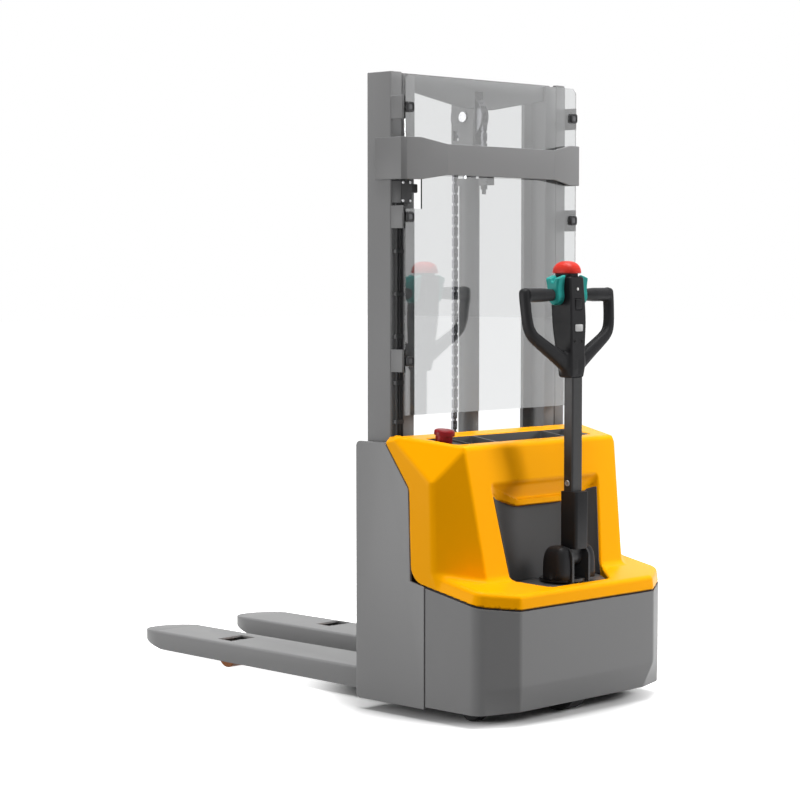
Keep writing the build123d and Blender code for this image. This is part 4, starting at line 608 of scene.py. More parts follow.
BAY_CUT = (0.378, -0.048)
CUT_ROUND = 0.003
TRAY_STRETCH = 1.008
TRAY_RIGHT = 0.268
TRAY_LEFT = (-0.320, 0.022)
TRAY_LEFT_FACING = (0.9818, 0.1906)
TRAY_SPAN = (0.0735, 0.0515)
TRAY_ROUND = 0.016
TRAY_FLOOR = 0.735
hood_yellow = finish("yellow_moulding", (0.95, 0.39, 0.001), 0.02, (0.3, 0.38), patches=4, grains=900, depth=0.06,
                     speckle=0.05, specular=0.13, tint=(1, 0.6, 0.03))


def moulded(field, low, high, cell):
    """Closed skin where a field of distances is zero. The field is sampled on a grid of cubes, each cube that the skin
    crosses gets one point at the mean of its edge crossings, the cubes round a crossed edge share a quad, and the
    points then slide down the field's slope on to the skin. Gives points, faces and normals from the slope."""
    axes = [np.arange(a, b + cell, cell) for a, b in zip(low, high)]
    grid = np.stack(np.meshgrid(*axes, indexing="ij"), -1)
    value = field(*np.moveaxis(grid, -1, 0))
    size = value.shape
    total, count = np.zeros((*(n - 1 for n in size), 3)), np.zeros([n - 1 for n in size])
    crossings = []
    for axis in range(3):
        start = tuple(slice(0, -1) if k == axis else slice(None) for k in range(3))
        stop = tuple(slice(1, None) if k == axis else slice(None) for k in range(3))
        crossed = (value[start] < 0) != (value[stop] < 0)
        share = np.where(crossed, value[start] / np.where(crossed, value[start] - value[stop], 1), 0)
        point = grid[start] + share[..., None] * (grid[stop] - grid[start])
        crossings.append(crossed)
        others = [k for k in range(3) if k != axis]
        for a in (0, 1):
            for b in (0, 1):
                shift = {others[0]: a, others[1]: b}
                part = tuple(slice(shift[k], shift[k] + size[k] - 1) if k in shift else slice(None) for k in range(3))
                total += point[part] * crossed[part][..., None]
                count += crossed[part]
    full = count > 0
    index = np.full(full.shape, -1)
    index[full] = np.arange(full.sum())
    points = total[full] / count[full][:, None]
    quads = []
    for axis in range(3):
        first, second = (axis + 1) % 3, (axis + 2) % 3
        inner = tuple(slice(None) if k == axis else slice(1, -1) for k in range(3))
        edge = np.argwhere(crossings[axis][inner]) + np.array([0 if k == axis else 1 for k in range(3)])
        corners = []
        for a, b in ((-1, -1), (0, -1), (0, 0), (-1, 0)):
            cube = edge.copy()
            cube[:, first] += a
            cube[:, second] += b
            corners.append(index[tuple(cube.T)])
        quad = np.stack(corners, -1)
        outward = value[tuple(edge.T)] < 0
        quads.append(np.where(outward[:, None], quad, quad[:, ::-1]))

    def slope(p, step):
        shifts = np.eye(3) * step
        return np.stack([(field(*(p + s).T) - field(*(p - s).T)) / (2 * step) for s in shifts], -1)

    for _ in range(4):
        rise = slope(points, cell * 0.05)
        move = -field(*points.T)[:, None] * rise / np.maximum((rise**2).sum(1), 0.1)[:, None]
        points = points + np.clip(move, -cell, cell)
    rise = slope(points, cell * 0.25)
    return points, [np.concatenate(quads)], rise / np.linalg.norm(rise, axis=1, keepdims=True)


def add_moulding(name, field, room, cell, *about):
    """Add the skin of a field that lies in a room, given as a half width and pairs of depths and heights."""
    half, depths, heights = room
    low, high = ((side * half, REAR_FACE + depth, z) for side, depth, z in zip((-1, 1), depths, heights))
    points, faces, normals = moulded(field, low, high, cell)
    add_piece(name, points, faces, *about, normals=normals)


def round_max(a, b, radius):
    """Overlap of two forms, with the edge between them rounded to this radius."""
    return np.minimum(-radius, np.maximum(a, b)) + np.hypot(np.maximum(a + radius, 0), np.maximum(b + radius, 0))


def round_min(a, b, radius):
    """Two forms joined, with a fillet of this radius in the corner between them."""
    return np.maximum(radius, np.minimum(a, b)) - np.hypot(np.maximum(radius - a, 0), np.maximum(radius - b, 0))


def flat(a, b, c, inner):
    """Distance from the plane through three points, as a function that is negative on the inner point's side, with the
    plane's facing."""
    a, b, c, inner = (np.asarray(p, float) for p in (a, b, c, inner))
    normal = np.cross(b - a, c - a)
    normal = normal / np.linalg.norm(normal)
    if normal @ (inner - a) > 0:
        normal = -normal
    return lambda x, y, z: normal[0] * (x - a[0]) + normal[1] * (y - a[1]) + normal[2] * (z - a[2]), normal


def round_corner(a, b, level, radius):
    """Overlap of two flats whose facings have this level product, with a true arc of this radius between them: past
    both touching lines the distance is measured from the arc's centre line."""
    p, q = a + radius, b + radius
    arc = np.sqrt(np.maximum(p * p + q * q - 2 * level * p * q, 0) / (1 - level * level)) - radius
    return np.where((p > level * q) & (q > level * p), arc, np.maximum(a, b))


def edge_line(first, second):
    """Distance from a line through two points, as a function that is positive on the left of the way from one to
    the other, with the line's facing."""
    first, second = np.asarray(first, float), np.asarray(second, float)
    way = (second - first) / np.linalg.norm(second - first)
    facing = np.array((-way[1], way[0]))
    return lambda u, v: facing[0] * (u - first[0]) + facing[1] * (v - first[1]), facing


hood_top, top_facing = flat(TOP_REAR, TOP_FRONT, (0.1, *TOP_REAR[1:]), HOOD_MIDDLE)
hood_rear, rear_facing = flat((0.0, *FACE_TOP), (0.1, *FACE_FOOT), (0.0, *FACE_FOOT), HOOD_MIDDLE)
hood_shoulder, shoulder_facing = flat(SHOULDER_SIDE, SHOULDER_FRONT, SHOULDER_REAR, HOOD_MIDDLE)
hood_ear, ear_facing = flat(EAR_SIDE, EAR_TOP, SHOULDER_FRONT, HOOD_MIDDLE)
soffit_flat, _ = flat((0, *SOFFIT[0]), (0.1, *SOFFIT[0]), (0, *SOFFIT[1]), (0, -0.25, 0.5))
hood_facings = dict(rear=rear_facing, top=top_facing, shoulder=shoulder_facing, ear=ear_facing,
                    facet=flat(*FACET_OUTER, FACET_MIDDLE, HOOD_MIDDLE)[1], side=np.array((1, 0, 0)))
hood_edges = (("rear", "top", 0.018), ("rear", "facet", 0.018), ("facet", "side", 0.035), ("facet", "shoulder", 0.030),
              ("shoulder", "top", 0.016), ("shoulder", "side", 0.030), ("rear", "shoulder", 0.020),
              ("ear", "top", 0.008), ("ear", "shoulder", 0.010), ("ear", "side", 0.006))
plate_slope, slope_facing = edge_line(PLATE_SHOULDER, PLATE_TOP_EDGE)
plate_upright, upright_facing = edge_line(PLATE_FOOT, PLATE_SHOULDER)
apron_facet, facet_facing = edge_line((UPRIGHT_PLAN[1], 0), (HOOD_HALF, UPRIGHT_PLAN[0] - SKIRT_REAR))


def hood_facet(ax, d, z):
    """Corner facet of the tower, which twists: at each height a straight line in plan from its outer to its inner
    edge, both of them straight lines in space."""
    (outer_x, outer_d, outer_z), (_, high_d, high_z) = FACET_OUTER
    outer_d = outer_d + (high_d - outer_d) * (z - outer_z) / (high_z - outer_z)
    (low_x, low_d, low_z), (end_x, end_d, end_z) = FACET_INNER
    share = (z - low_z) / (end_z - low_z)
    across, along = outer_x - low_x - (end_x - low_x) * share, outer_d - low_d - (end_d - low_d) * share
    return (along * (ax - outer_x) - across * (d - outer_d)) / np.hypot(across, along)


def niche_plan(ax, d, z):
    """Distance from the room behind the tiller: in plan a half ellipse from the hood's rear face inwards, whose half
    width grows with height, with straight sides in front of the face."""
    face = FACE_FOOT[0] + (z - FACE_FOOT[1]) * FACE_LEAN
    half = NICHE_HALF + np.maximum(z - FACE_FOOT[1], 0) * NICHE_FLARE
    deep = NICHE_BACK[0] + (z - NICHE_BACK[1]) * NICHE_BACK_LEAN - face
    u, v = (ax + 1e-6) / half, np.maximum(d - face, 0) / deep
    reach = np.hypot(u, v)
    return reach * (reach - 1) / np.hypot(u / half, v / deep)


def niche_field(ax, d, z):
    """Room for the tiller: the plan's half ellipse under a sloping soffit that ends in a lip, rising towards the sides,
    with a flat floor room that cuts on through the apron."""
    plan = niche_plan(ax, d, z)
    over_lip = z - SOFFIT_LIP[0] - SOFFIT_LIP_RISE[1] * np.maximum(ax - SOFFIT_LIP_RISE[0], 0)
    room = np.minimum(round_max(plan, soffit_flat(ax, d, z), SOFFIT_ROUND), np.maximum(plan, over_lip))
    lip = np.maximum(np.abs(over_lip) - SOFFIT_LIP[1], SOFFIT_LIP[2] - d)
    room = round_max(room, -lip, SOFFIT_LIP_ROUND)
    rise = z - FACE_FOOT[1]
    beyond = ax - NICHE_HALF - np.maximum(rise, 0) * NICHE_FLARE
    splay = NICHE_SPLAY[0] * beyond - NICHE_SPLAY[1] * (d - FACE_FOOT[0] - rise * FACE_LEAN)
    room = np.maximum(np.maximum(round_max(room, z - NICHE_TOP, NICHE_TOP_ROUND), splay), NICHE_REAR - d)
    rear, front, top = NICHE_FLOOR
    floor_room = round_max(round_max(ax - NICHE_HALF, splay, NICHE_FLOOR_ROUND), rear - d, NICHE_FLOOR_ROUND)
    floor_room = np.maximum(floor_room, np.maximum(z - top, d - front))
    return np.minimum(room, floor_room)


def hood_field(x, y, z):
    """The hood as distances: a tower of flats rounded together, a drafted apron filleted on to it, the niche taken out
    with a rolled lip, a wall of even thickness left, a hidden lip at the foot, and the openings cut."""
    ax, d = np.abs(x), y - REAR_FACE
    flats = dict(rear=hood_rear(ax, d, z), top=hood_top(ax, d, z), shoulder=hood_shoulder(ax, d, z),
                 ear=hood_ear(ax, d, z), facet=hood_facet(ax, d, z), side=ax - HOOD_HALF)
    tower = np.full_like(ax, -1.0)
    for first, second, radius in hood_edges:
        level = hood_facings[first] @ hood_facings[second]
        tower = np.maximum(tower, round_corner(flats[first], flats[second], level, radius))
    lean = (1 + SKIRT_SLOPE**2) ** -0.5
    rise = ((z - SKIRT_REAR_TOP) - SKIRT_SLOPE * (d - SKIRT_REAR)) * lean
    along = (d - SKIRT_REAR) + SKIRT_SLOPE * rise * lean
    side, facet = ax - HOOD_HALF, -apron_facet(ax, along)
    plan = round_corner(side, facet, -facet_facing[0], SKIRT_BENDS[1])
    rear = round_corner(facet, -along, facet_facing[1], SKIRT_BENDS[0])
    plan = np.maximum(plan, rear)
    c, s = np.cos(APRON_DRAFT), np.sin(APRON_DRAFT)
    apron = round_corner(plan * c + rise * s, rise - APRON_RISE, s, APRON_ROUND)
    niche = niche_field(ax, d, z)
    form = np.maximum(round_min(tower, apron, APRON_FILLET), ax - HOOD_HALF)
    form = round_max(form, -niche, NICHE_ROUND)
    wall = np.maximum(form, -(form + HOOD_WALL))
    wall = round_max(wall, SKIRT_GAP - rise, RIM_ROUND)
    inset, half_thick, middle, half_tall, front = FOOT_LIP
    lip = np.maximum(np.abs(plan + inset) - half_thick, np.abs(rise - middle) - half_tall)
    wall = np.minimum(wall, np.maximum(lip, np.maximum(d - front, -niche)))
    bay = np.maximum(ax - BAY_CUT[0], BAY_CUT[1] - d)
    wall = round_max(wall, -bay, CUT_ROUND)
    plate = round_corner(plate_slope(d, z), plate_upright(d, z), slope_facing @ upright_facing, PLATE_BEND)
    plate = round_min(plate, rise, PLATE_FILLET) - SKIRT_GAP
    ear = np.maximum(PLATE_TOP_EDGE[0] - SKIRT_GAP - d, EAR_FOOT - z)
    beside = np.maximum(np.minimum(plate, ear), PLATE_INNER - ax)
    wall = round_max(wall, -beside, RIM_ROUND)
    tray_y = (d - TOP_REAR[1]) * TRAY_STRETCH
    left = -TRAY_LEFT_FACING[0] * (x - TRAY_LEFT[0]) - TRAY_LEFT_FACING[1] * (tray_y - TRAY_LEFT[1])
    tray = round_max(np.maximum(x - TRAY_RIGHT, left), np.abs(tray_y - TRAY_SPAN[0]) - TRAY_SPAN[1], TRAY_ROUND)
    return round_max(wall, -np.maximum(tray, TRAY_FLOOR - z), CUT_ROUND)


add_moulding("hood_moulding", hood_field, HOOD_ROOM, HOOD_CELL, hood_yellow, "chassis", "yellow_moulding", "hood")

# Hood gap shade: a thin black strip that stands behind the skirt's rim and closes the gap under the hood all the way
# round, painted shade that makes the gap read as the dark shadow line between skirt and hood.
GAP_SHADE_INSET = 0.0057
GAP_SHADE_DEPTH = 0.010
GAP_SHADE_WALL = 0.0012
ahead = np.gradient(upright, axis=0)
inwards = np.stack((-ahead[:, 1], ahead[:, 0]), -1) / np.linalg.norm(ahead, axis=1, keepdims=True)
gap_shade_plan = upright + inwards * GAP_SHADE_INSET
gap_shade_z = np.stack((skirt_top - GAP_SHADE_DEPTH, skirt_top + 2 * SKIRT_GAP))
gap_shade_points = np.stack((*np.broadcast_arrays(gap_shade_plan[:, 0], REAR_FACE + gap_shade_plan[:, 1], gap_shade_z),), -1)
gap_shade = add_piece("hood_gap_shade", gap_shade_points, [grid_quads(*gap_shade_z.shape)], cable_rubber, "chassis", "black_plastic")
thicken(gap_shade, GAP_SHADE_WALL, 0)

# Tiller recess panel: a dark grained ABS liner, one curved wall that wraps the room behind the tiller, and a floor
# plate with a round hole for the steering column. Both drop in behind the hood's lip.
LINER = 0.003
LINER_GAP = 0.0035
FLOOR_TOP = 0.368
LINER_TOP = (0.586, 0.6208)
LINER_LEVEL_HALF = 0.10
LINER_TOP_HALF = 0.2262
COLUMN_DEPTH = -0.318
HOLE_RADII = (0.041, 0.0425)
FLOOR_STEPS = 120
FLOOR_EASE = 0.003
FLOOR_LEVELS = (-0.004, -0.001, 0, 0, -0.002, -0.004)
FLOOR_SIDES = np.array(((1, 0, 0.1945), (-1, 0, 0.1945), (0, 1, 0.1), (0, -1, 0.0610),
                        (NICHE_SPLAY[0], -NICHE_SPLAY[1], 0.1335), (-NICHE_SPLAY[0], -NICHE_SPLAY[1], 0.1335)))
FLOOR_POWER = 18
liner_grey = finish("grained_liner", (0.068, 0.068, 0.069), 0.08, (0.4, 0.5), patches=6, grains=1100, depth=0.3,
                    specular=0.15)
up, side = np.meshgrid(np.linspace(0, 1, 40), np.linspace(0, np.pi, 97), indexing="ij")
climb = np.clip((LINER_TOP_HALF * np.abs(np.cos(side)) - LINER_LEVEL_HALF) / (LINER_TOP_HALF - LINER_LEVEL_HALF), 0, 1)
liner_head = LINER_TOP[0] + (LINER_TOP[1] - LINER_TOP[0]) * climb
liner_z = FLOOR_TOP - 0.002 + (liner_head - FLOOR_TOP) * up
liner_half = NICHE_HALF + np.maximum(liner_z - FACE_FOOT[1], 0) * NICHE_FLARE - LINER_GAP
face_d = FACE_FOOT[0] + (liner_z - FACE_FOOT[1]) * FACE_LEAN
back_d = NICHE_BACK[0] + (liner_z - NICHE_BACK[1]) * NICHE_BACK_LEAN - LINER_GAP
liner_d = face_d + LINER_GAP + (back_d - face_d - LINER_GAP) * np.sin(side)
liner_points = np.stack((liner_half * np.cos(side), REAR_FACE + liner_d, liner_z), -1)
liner = add_piece("recess_liner", liner_points, [grid_quads(*up.shape)], liner_grey, "chassis", "recess_plastic",
                  "tiller_recess_panel")
thicken(liner, LINER, 0)
turn = np.arange(FLOOR_STEPS) * 2 * np.pi / FLOOR_STEPS
ray = np.stack((np.cos(turn), np.sin(turn)), -1)
outwards = np.maximum(ray @ FLOOR_SIDES[:, :2].T, 1e-6)
reach = ((outwards / FLOOR_SIDES[:, 2]) ** FLOOR_POWER).sum(1) ** (-1 / FLOOR_POWER)
hole = np.full_like(reach, HOLE_RADII[0])
radii = np.stack((hole, hole, np.full_like(reach, HOLE_RADII[1]), reach - FLOOR_EASE, reach, reach))
levels = np.broadcast_to(np.array(FLOOR_LEVELS)[:, None], radii.shape)
floor_points = np.stack((radii * ray[:, 0], REAR_FACE + COLUMN_DEPTH + radii * ray[:, 1], FLOOR_TOP + levels), -1)
floor_quads = grid_quads(len(radii) + 1, FLOOR_STEPS, ring=True) % radii.size
add_piece("recess_floor", floor_points, [floor_quads], liner_grey, "chassis", "recess_plastic")

# Storage tray: a vacuum formed dark insert in the hood's top with three compartments, its rims eased. It is dropped
# into the hood's opening from above.
RIM_EASE = 0.0012
tray_plastic = finish("tray_plastic", (0.07, 0.07, 0.071), 0.1, (0.4, 0.55), patches=8, grains=1000, depth=0.25)
eased(tray_plastic, RIM_EASE, "storage_tray")

# Emergency stop: a dark red mushroom button over a collar of the same red, screwed through the tray's left seat; the
# button is pushed down over the collar.
STOP_PLACE = (-0.300, 0.087)
STOP_STEPS = 96
top_slope = (TOP_FRONT[2] - TOP_REAR[2]) / (TOP_FRONT[1] - TOP_REAR[1])
stop_axis = np.array((0, -top_slope, 1)) / np.hypot(top_slope, 1)
stop_along = np.array((0, 1, top_slope)) / np.hypot(top_slope, 1)
stop_centre = np.array((STOP_PLACE[0], REAR_FACE + TOP_REAR[1], TOP_REAR[2])) + stop_along * STOP_PLACE[1]
stop_red = finish("stop_red", (0.22, 0.010, 0.014), 0.05, (0.28, 0.36), patches=30, depth=0.05, specular=0.12)
collar_profile = [(0.0235, -0.0078), (0.0243, -0.0070), (0.0243, 0.0150), (0.0233, 0.0158), (0.0096, 0.0158),
                  (0.0094, 0.0040)]
stop_collar = dished(collar_profile, stop_centre, stop_axis, STOP_STEPS)
add_piece("stop_collar", *stop_collar, stop_red, "chassis", "stop_red", "e_stop_base")
button_profile = [(0.0088, -0.0380), (0.0088, 0.0220), (0.0250, 0.0220), (0.0255, 0.0214), (0.0255, 0.0146),
                  (0.0260, 0.0141), (0.0285, 0.0141), (0.0293, 0.0148), (0.0294, 0.0160), (0.0294, 0.0236),
                  (0.0285, 0.0268), (0.0262, 0.0289), (0.0235, 0.0297), (0.0160, 0.0299), (0.0060, 0.0299)]
stop_button = dished(button_profile, stop_centre, stop_axis, STOP_STEPS)
add_piece("stop_button", *stop_button, stop_red, "e_stop_button", "stop_red", "e_stop_button")

# Tiller base: a machined steel yoke that turns with the drive unit, with a tilt pin, a bright return spring round the
# pin, and a black moulded cup over each side.
TILT_POINT = (0.0, REAR_FACE - 0.345, 0.440)
COVER_INNER = 0.0395
COVER_RADII = (0.0395, 0.0415, 0.0945)
COVER_CENTRE = (REAR_FACE - 0.342, 0.3805)
COVER_STEPS = (65, 33)
COVER_WALL = 0.003
SPRING_INNER = 0.0242
SPRING_LENGTH = 0.0044
SPRING_RADIUS = 0.0145
SPRING_WIRE = 0.0015
SPRING_POINTS = 97
tiller_plastic = finish("tiller_moulding", (0.014, 0.014, 0.015), 0.14, (0.42, 0.52), patches=12, grains=1300,
                        depth=0.5, speckle=0.5, specular=0.12)
dress(black_steel, "tiller_base")
over, out = (np.linspace(0, end, count) for end, count in zip((np.pi, np.pi / 2), COVER_STEPS))
over, out = np.meshgrid(over, out, indexing="ij")


def soft_power(value, power):
    """A sine or cosine raised to a power with its sign kept, for forms between a ball and a box."""
    return np.sign(value) * np.abs(value) ** power


covers = []
for hand in (-1, 1):
    ring = soft_power(np.cos(out), 0.45)
    cover = np.stack((
        hand * (COVER_INNER + COVER_RADII[0] * soft_power(np.sin(out), 0.55)),
        COVER_CENTRE[0] + COVER_RADII[1] * ring * soft_power(np.cos(over), 0.5),
        COVER_CENTRE[1] + COVER_RADII[2] * ring * soft_power(np.sin(over), 0.5),
    ), -1)
    quads = grid_quads(*COVER_STEPS)
    covers.append((cover.reshape(-1, 3), [quads if hand < 0 else quads[:, ::-1]]))
cups = add_piece("tiller_base_cups", *joined(covers), tiller_plastic, "drive_unit", "dark_plastic",
                 "tiller_base_covers")
thicken(cups, COVER_WALL, -1)


def swept(path, normal, halves, steps=16, power=2.0):
    """A section carried along a path: at each point a superellipse with its own two half sizes, one in the path's plane
    and one along the plane's normal. Both ends close in a fan."""
    path, normal, halves = np.asarray(path, float), np.asarray(normal, float), np.asarray(halves, float)
    ahead = np.gradient(path, axis=0)
    ahead = ahead / np.linalg.norm(ahead, axis=1, keepdims=True)
    level = normal - ahead * (ahead @ normal)[:, None]
    level = level / np.linalg.norm(level, axis=1, keepdims=True)
    across = np.cross(level, ahead)
    wide, deep = (part[None, :, None] for part in oval(steps, power))
    rings = path[:, None] + wide * (halves[:, :1] * across)[:, None] + deep * (halves[:, 1:] * level)[:, None]
    return np.concatenate((rings.reshape(-1, 3), path[[0, -1]])), capped(len(path), steps)


springs = []
for hand in (-1, 1):
    coil = np.linspace(0, 4 * np.pi, SPRING_POINTS)
    out = hand * (SPRING_INNER + SPRING_LENGTH * coil / coil[-1])
    circle = SPRING_RADIUS * np.cos(coil), SPRING_RADIUS * np.sin(coil)
    helix = np.stack((out, TILT_POINT[1] + circle[0], TILT_POINT[2] + circle[1]), -1)
    springs.append(swept(helix, (1, 0, 0), np.full((SPRING_POINTS, 2), SPRING_WIRE), steps=10))
add_piece("tilt_springs", *joined(springs), bright_steel, "drive_unit", "bright_steel")

# Tiller arm: a black coated flat steel bar pinned to the yoke, with a moulded sleeve round its lower half and a
# round zinc plated bolt head on each side.
SLEEVE_EASE = 0.002
BOLT_PLACE = (0.022, -0.354, 0.651)
dress(black_steel, "tiller_arm")
eased(tiller_plastic, SLEEVE_EASE, "arm_lower_cover")
bolt_profile = [(0.0085, 0), (0.0085, 0.0016), (0.0074, 0.0032), (0.0056, 0.0032), (0.0048, 0.0026), (0.0044, 0.0006)]
bolt_heads = []
for hand in (-1, 1):
    place = (hand * BOLT_PLACE[0], REAR_FACE + BOLT_PLACE[1], BOLT_PLACE[2])
    bolt_heads.append(dished(bolt_profile, place, (hand, 0, 0), steps=30, across=(0, 1, 0)))
bolt_zinc = finish("zinc_bolt", (0.3, 0.3, 0.31), 0.08, (0.3, 0.4), patches=80, metallic=0.4)
add_piece("arm_bolts", *joined(bolt_heads), bolt_zinc, "tiller", "bright_steel", crease=25)

# Tiller head and grip loops: one glass filled nylon moulding, a control box on the arm's top with a closed loop on
# each side for the hands. Fine moulded grain, dark grey.
HEAD_CELL = 0.0024
HEAD_ROOM = (0.204, (-0.388, -0.290), (0.942, 1.262))
HEAD_ROUND = 0.006
HEAD_LEVELS = (0.950, 1.105, 1.235)
HEAD_HALVES = (0.0280, 0.0330, 0.0298)
HEAD_OUTLINE = np.array(((-0.372, 0.950), (-0.324, 0.950), (-0.3115, 1.020), (-0.2985, 1.120), (-0.2935, 1.235),
                         (-0.3675, 1.235), (-0.3765, 1.120)))
GRIP_AXIS = (-0.331, 1.183)
GRIP_HALF = 0.0165
GRIP_SWELL = 0.0030
GRIP_ENDS = (0.0675, 0.176)
SWELL_RUN = 0.045
STUB_RADIUS = 0.0078
STUB_ENDS = (0.02, 0.08)
NECK_DEPTH = -0.329
NECK_HALVES = (0.0222, 0.0282)
NECK_HEIGHTS = (1.22, 1.2525)
NECK_ROUND = 0.010
POCKET_HALVES = (0.0139, 0.0159)
POCKET_PLACE = (-0.3560, 1.157)
POCKET_ROUND = 0.0015
LOOP_FOOT = (-0.350, 0.971)
LOOP_LEAN = (LOOP_FOOT[0] - GRIP_AXIS[0]) / (LOOP_FOOT[1] - GRIP_AXIS[1])
LOOP_POWER = 2.6
LOOP_FILLETS = (0.005, 0.014)
LOOP_SAMPLES = 44
LOOP_PATH = np.array(((0.1805, 0.006), (0.1812, -0.010), (0.1790, -0.055), (0.1735, -0.094), (0.1580, -0.116),
                      (0.1220, -0.138), (0.0720, -0.167), (0.0160, -0.202)))
LOOP_HALVES = np.array(((0.0134, 0.0155), (0.0132, 0.0155), (0.0128, 0.0150), (0.0138, 0.0158), (0.0154, 0.0170),
                        (0.0172, 0.0180), (0.0195, 0.0187), (0.0230, 0.0190)))


def smooth_path(points, count):
    """Even samples of the uniform quadratic B-spline that has these control points, its ends doubled."""
    points = np.concatenate((points[:1], points, points[-1:]))
    t = np.linspace(0, len(points) - 2 - 1e-9, count)
    k = t.astype(int)
    f = (t - k)[:, None]
    return 0.5 * (1 - f) ** 2 * points[k] + (0.5 + f * (1 - f)) * points[k + 1] + 0.5 * f**2 * points[k + 2]


loop_line = smooth_path(np.concatenate((LOOP_PATH, LOOP_HALVES), 1), LOOP_SAMPLES)
head_sides = []
for here, there in zip(HEAD_OUTLINE, np.roll(HEAD_OUTLINE, -1, 0)):
    outwards = np.array((there - here)[::-1]) * (1, -1)
    head_sides.append((outwards / np.linalg.norm(outwards), here))


def head_field(x, y, z):
    """Distances to the head and its loops: the side outline's straight edges rounded together, then its two flat
    sides; each loop as the nearest stretch of its line with a squarish oval section; the grip as a round bar."""
    ax, d = np.abs(x), y - REAR_FACE
    outline = np.full_like(ax, -1.0)
    for outwards, here in head_sides:
        outline = round_max(outline, outwards[0] * (d - here[0]) + outwards[1] * (z - here[1]), HEAD_ROUND)
    head = round_max(outline, ax - np.interp(z, HEAD_LEVELS, HEAD_HALVES), HEAD_ROUND)
    neck = round_max(ax - NECK_HALVES[0], np.abs(d - NECK_DEPTH) - NECK_HALVES[1], NECK_ROUND)
    neck = np.maximum(neck, np.maximum(z - NECK_HEIGHTS[1], NECK_HEIGHTS[0] - z))
    head = np.minimum(head, neck)
    slant = np.hypot(1, LOOP_LEAN)
    down = (z - GRIP_AXIS[1] + LOOP_LEAN * (d - GRIP_AXIS[0])) / slant
    off = ((d - GRIP_AXIS[0]) - LOOP_LEAN * (z - GRIP_AXIS[1])) / slant
    loop = np.full_like(ax, 1.0)
    for here, there in zip(loop_line[:-1], loop_line[1:]):
        step = there[:2] - here[:2]
        share = np.clip(((ax - here[0]) * step[0] + (down - here[1]) * step[1]) / (step @ step), 0, 1)
        wide, deep = here[2] + share * (there[2] - here[2]), here[3] + share * (there[3] - here[3])
        flat_off = np.hypot(ax - here[0] - share * step[0], down - here[1] - share * step[1]) / wide
        section = (flat_off**LOOP_POWER + np.abs(off / deep) ** LOOP_POWER) ** (1 / LOOP_POWER)
        loop = np.minimum(loop, (section - 1) * wide)
    swell = GRIP_HALF + GRIP_SWELL * np.clip((ax - GRIP_ENDS[0]) / SWELL_RUN, 0, 1)
    away = np.hypot(d - GRIP_AXIS[0], z - GRIP_AXIS[1])
    grip = np.maximum(away - swell, np.maximum(ax - GRIP_ENDS[1], GRIP_ENDS[0] - ax))
    stub = np.maximum(away - STUB_RADIUS, np.maximum(ax - STUB_ENDS[1], STUB_ENDS[0] - ax))
    loops = round_min(loop, grip, LOOP_FILLETS[0])
    whole = np.minimum(round_min(head, loops, LOOP_FILLETS[1]), stub)
    pocket = np.maximum(ax - POCKET_HALVES[0], np.abs(z - POCKET_PLACE[1]) - POCKET_HALVES[1])
    return round_max(whole, -np.maximum(pocket, d - POCKET_PLACE[0]), POCKET_ROUND)


add_moulding("tiller_head_moulding", head_field, HEAD_ROOM, HEAD_CELL, tiller_plastic, "tiller", "dark_plastic",
             "tiller_head", "left_grip_loop", "right_grip_loop")

# Travel butterfly: two teal thumb rockers in one moulding, one each side of the head, turning together on the grip
# stubs. Horned above, rounded below.
BUTTERFLY_CELL = 0.0021
BUTTERFLY_ROOM = (0.072, (-0.366, -0.298), (1.150, 1.252))
BUTTERFLY_ROUNDS = (0.0065, 0.004)
BUTTERFLY_HOLE = 0.0082
BUTTERFLY_X = (0.033, 0.066)
BUTTERFLY_SHAPE = np.array(((-0.359, 1.246), (-0.345, 1.247), (-0.333, 1.212), (-0.317, 1.245), (-0.302, 1.241),
                            (-0.312, 1.200), (-0.314, 1.172), (-0.327, 1.154), (-0.343, 1.155), (-0.355, 1.172),
                            (-0.350, 1.205)))
BUTTERFLY_CROWN = (1.240, 0.3)
teal_key = finish("teal_moulding", (0.018, 0.25, 0.225), 0.06, (0.35, 0.45), patches=40, grains=1200, depth=0.2,
                  specular=0.12)
share = np.linspace(0, 1, 6, endpoint=False)[None, :, None]
first, second, third = (np.roll(BUTTERFLY_SHAPE, -k, 0)[:, None] for k in range(3))
butterfly_curve = (1 - share) ** 2 / 2 * first + (0.5 + share * (1 - share)) * second + share**2 / 2 * third
butterfly_curve = butterfly_curve.reshape(-1, 2)


def outline_distance(outline, u, v):
    """Distance from a closed outline, negative inside: the nearest of its straight edges, with the sign from how often
    a ray crosses them."""
    nearest, inside = np.full_like(u, 1.0), np.zeros(u.shape, bool)
    for (u0, v0), (u1, v1) in zip(outline, np.roll(outline, -1, 0)):
        du, dv = u1 - u0, v1 - v0
        share = np.clip(((u - u0) * du + (v - v0) * dv) / (du * du + dv * dv), 0, 1)
        nearest = np.minimum(nearest, np.hypot(u - u0 - share * du, v - v0 - share * dv))
        inside ^= ((v0 > v) != (v1 > v)) & (u < u0 + (v - v0) * du / (dv if dv else 1e-9))
    return np.where(inside, -nearest, nearest)


def butterfly_field(x, y, z):
    """The side outline, a closed quadratic spline, drawn across and rounded all over under a top that falls outwards,
    with the stub's hole."""
    ax, d = np.abs(x), y - REAR_FACE
    middle, half = sum(BUTTERFLY_X) / 2, (BUTTERFLY_X[1] - BUTTERFLY_X[0]) / 2
    body = round_max(outline_distance(butterfly_curve, d, z), np.abs(ax - middle) - half, BUTTERFLY_ROUNDS[0])
    crown = z - BUTTERFLY_CROWN[0] + BUTTERFLY_CROWN[1] * (ax - BUTTERFLY_X[0])
    body = round_max(body, crown, BUTTERFLY_ROUNDS[1])
    return np.maximum(body, BUTTERFLY_HOLE - np.hypot(d - GRIP_AXIS[0], z - GRIP_AXIS[1]))


add_moulding("butterfly_moulding", butterfly_field, BUTTERFLY_ROOM, BUTTERFLY_CELL, teal_key, "travel_butterfly",
             "teal_plastic", "travel_butterfly")

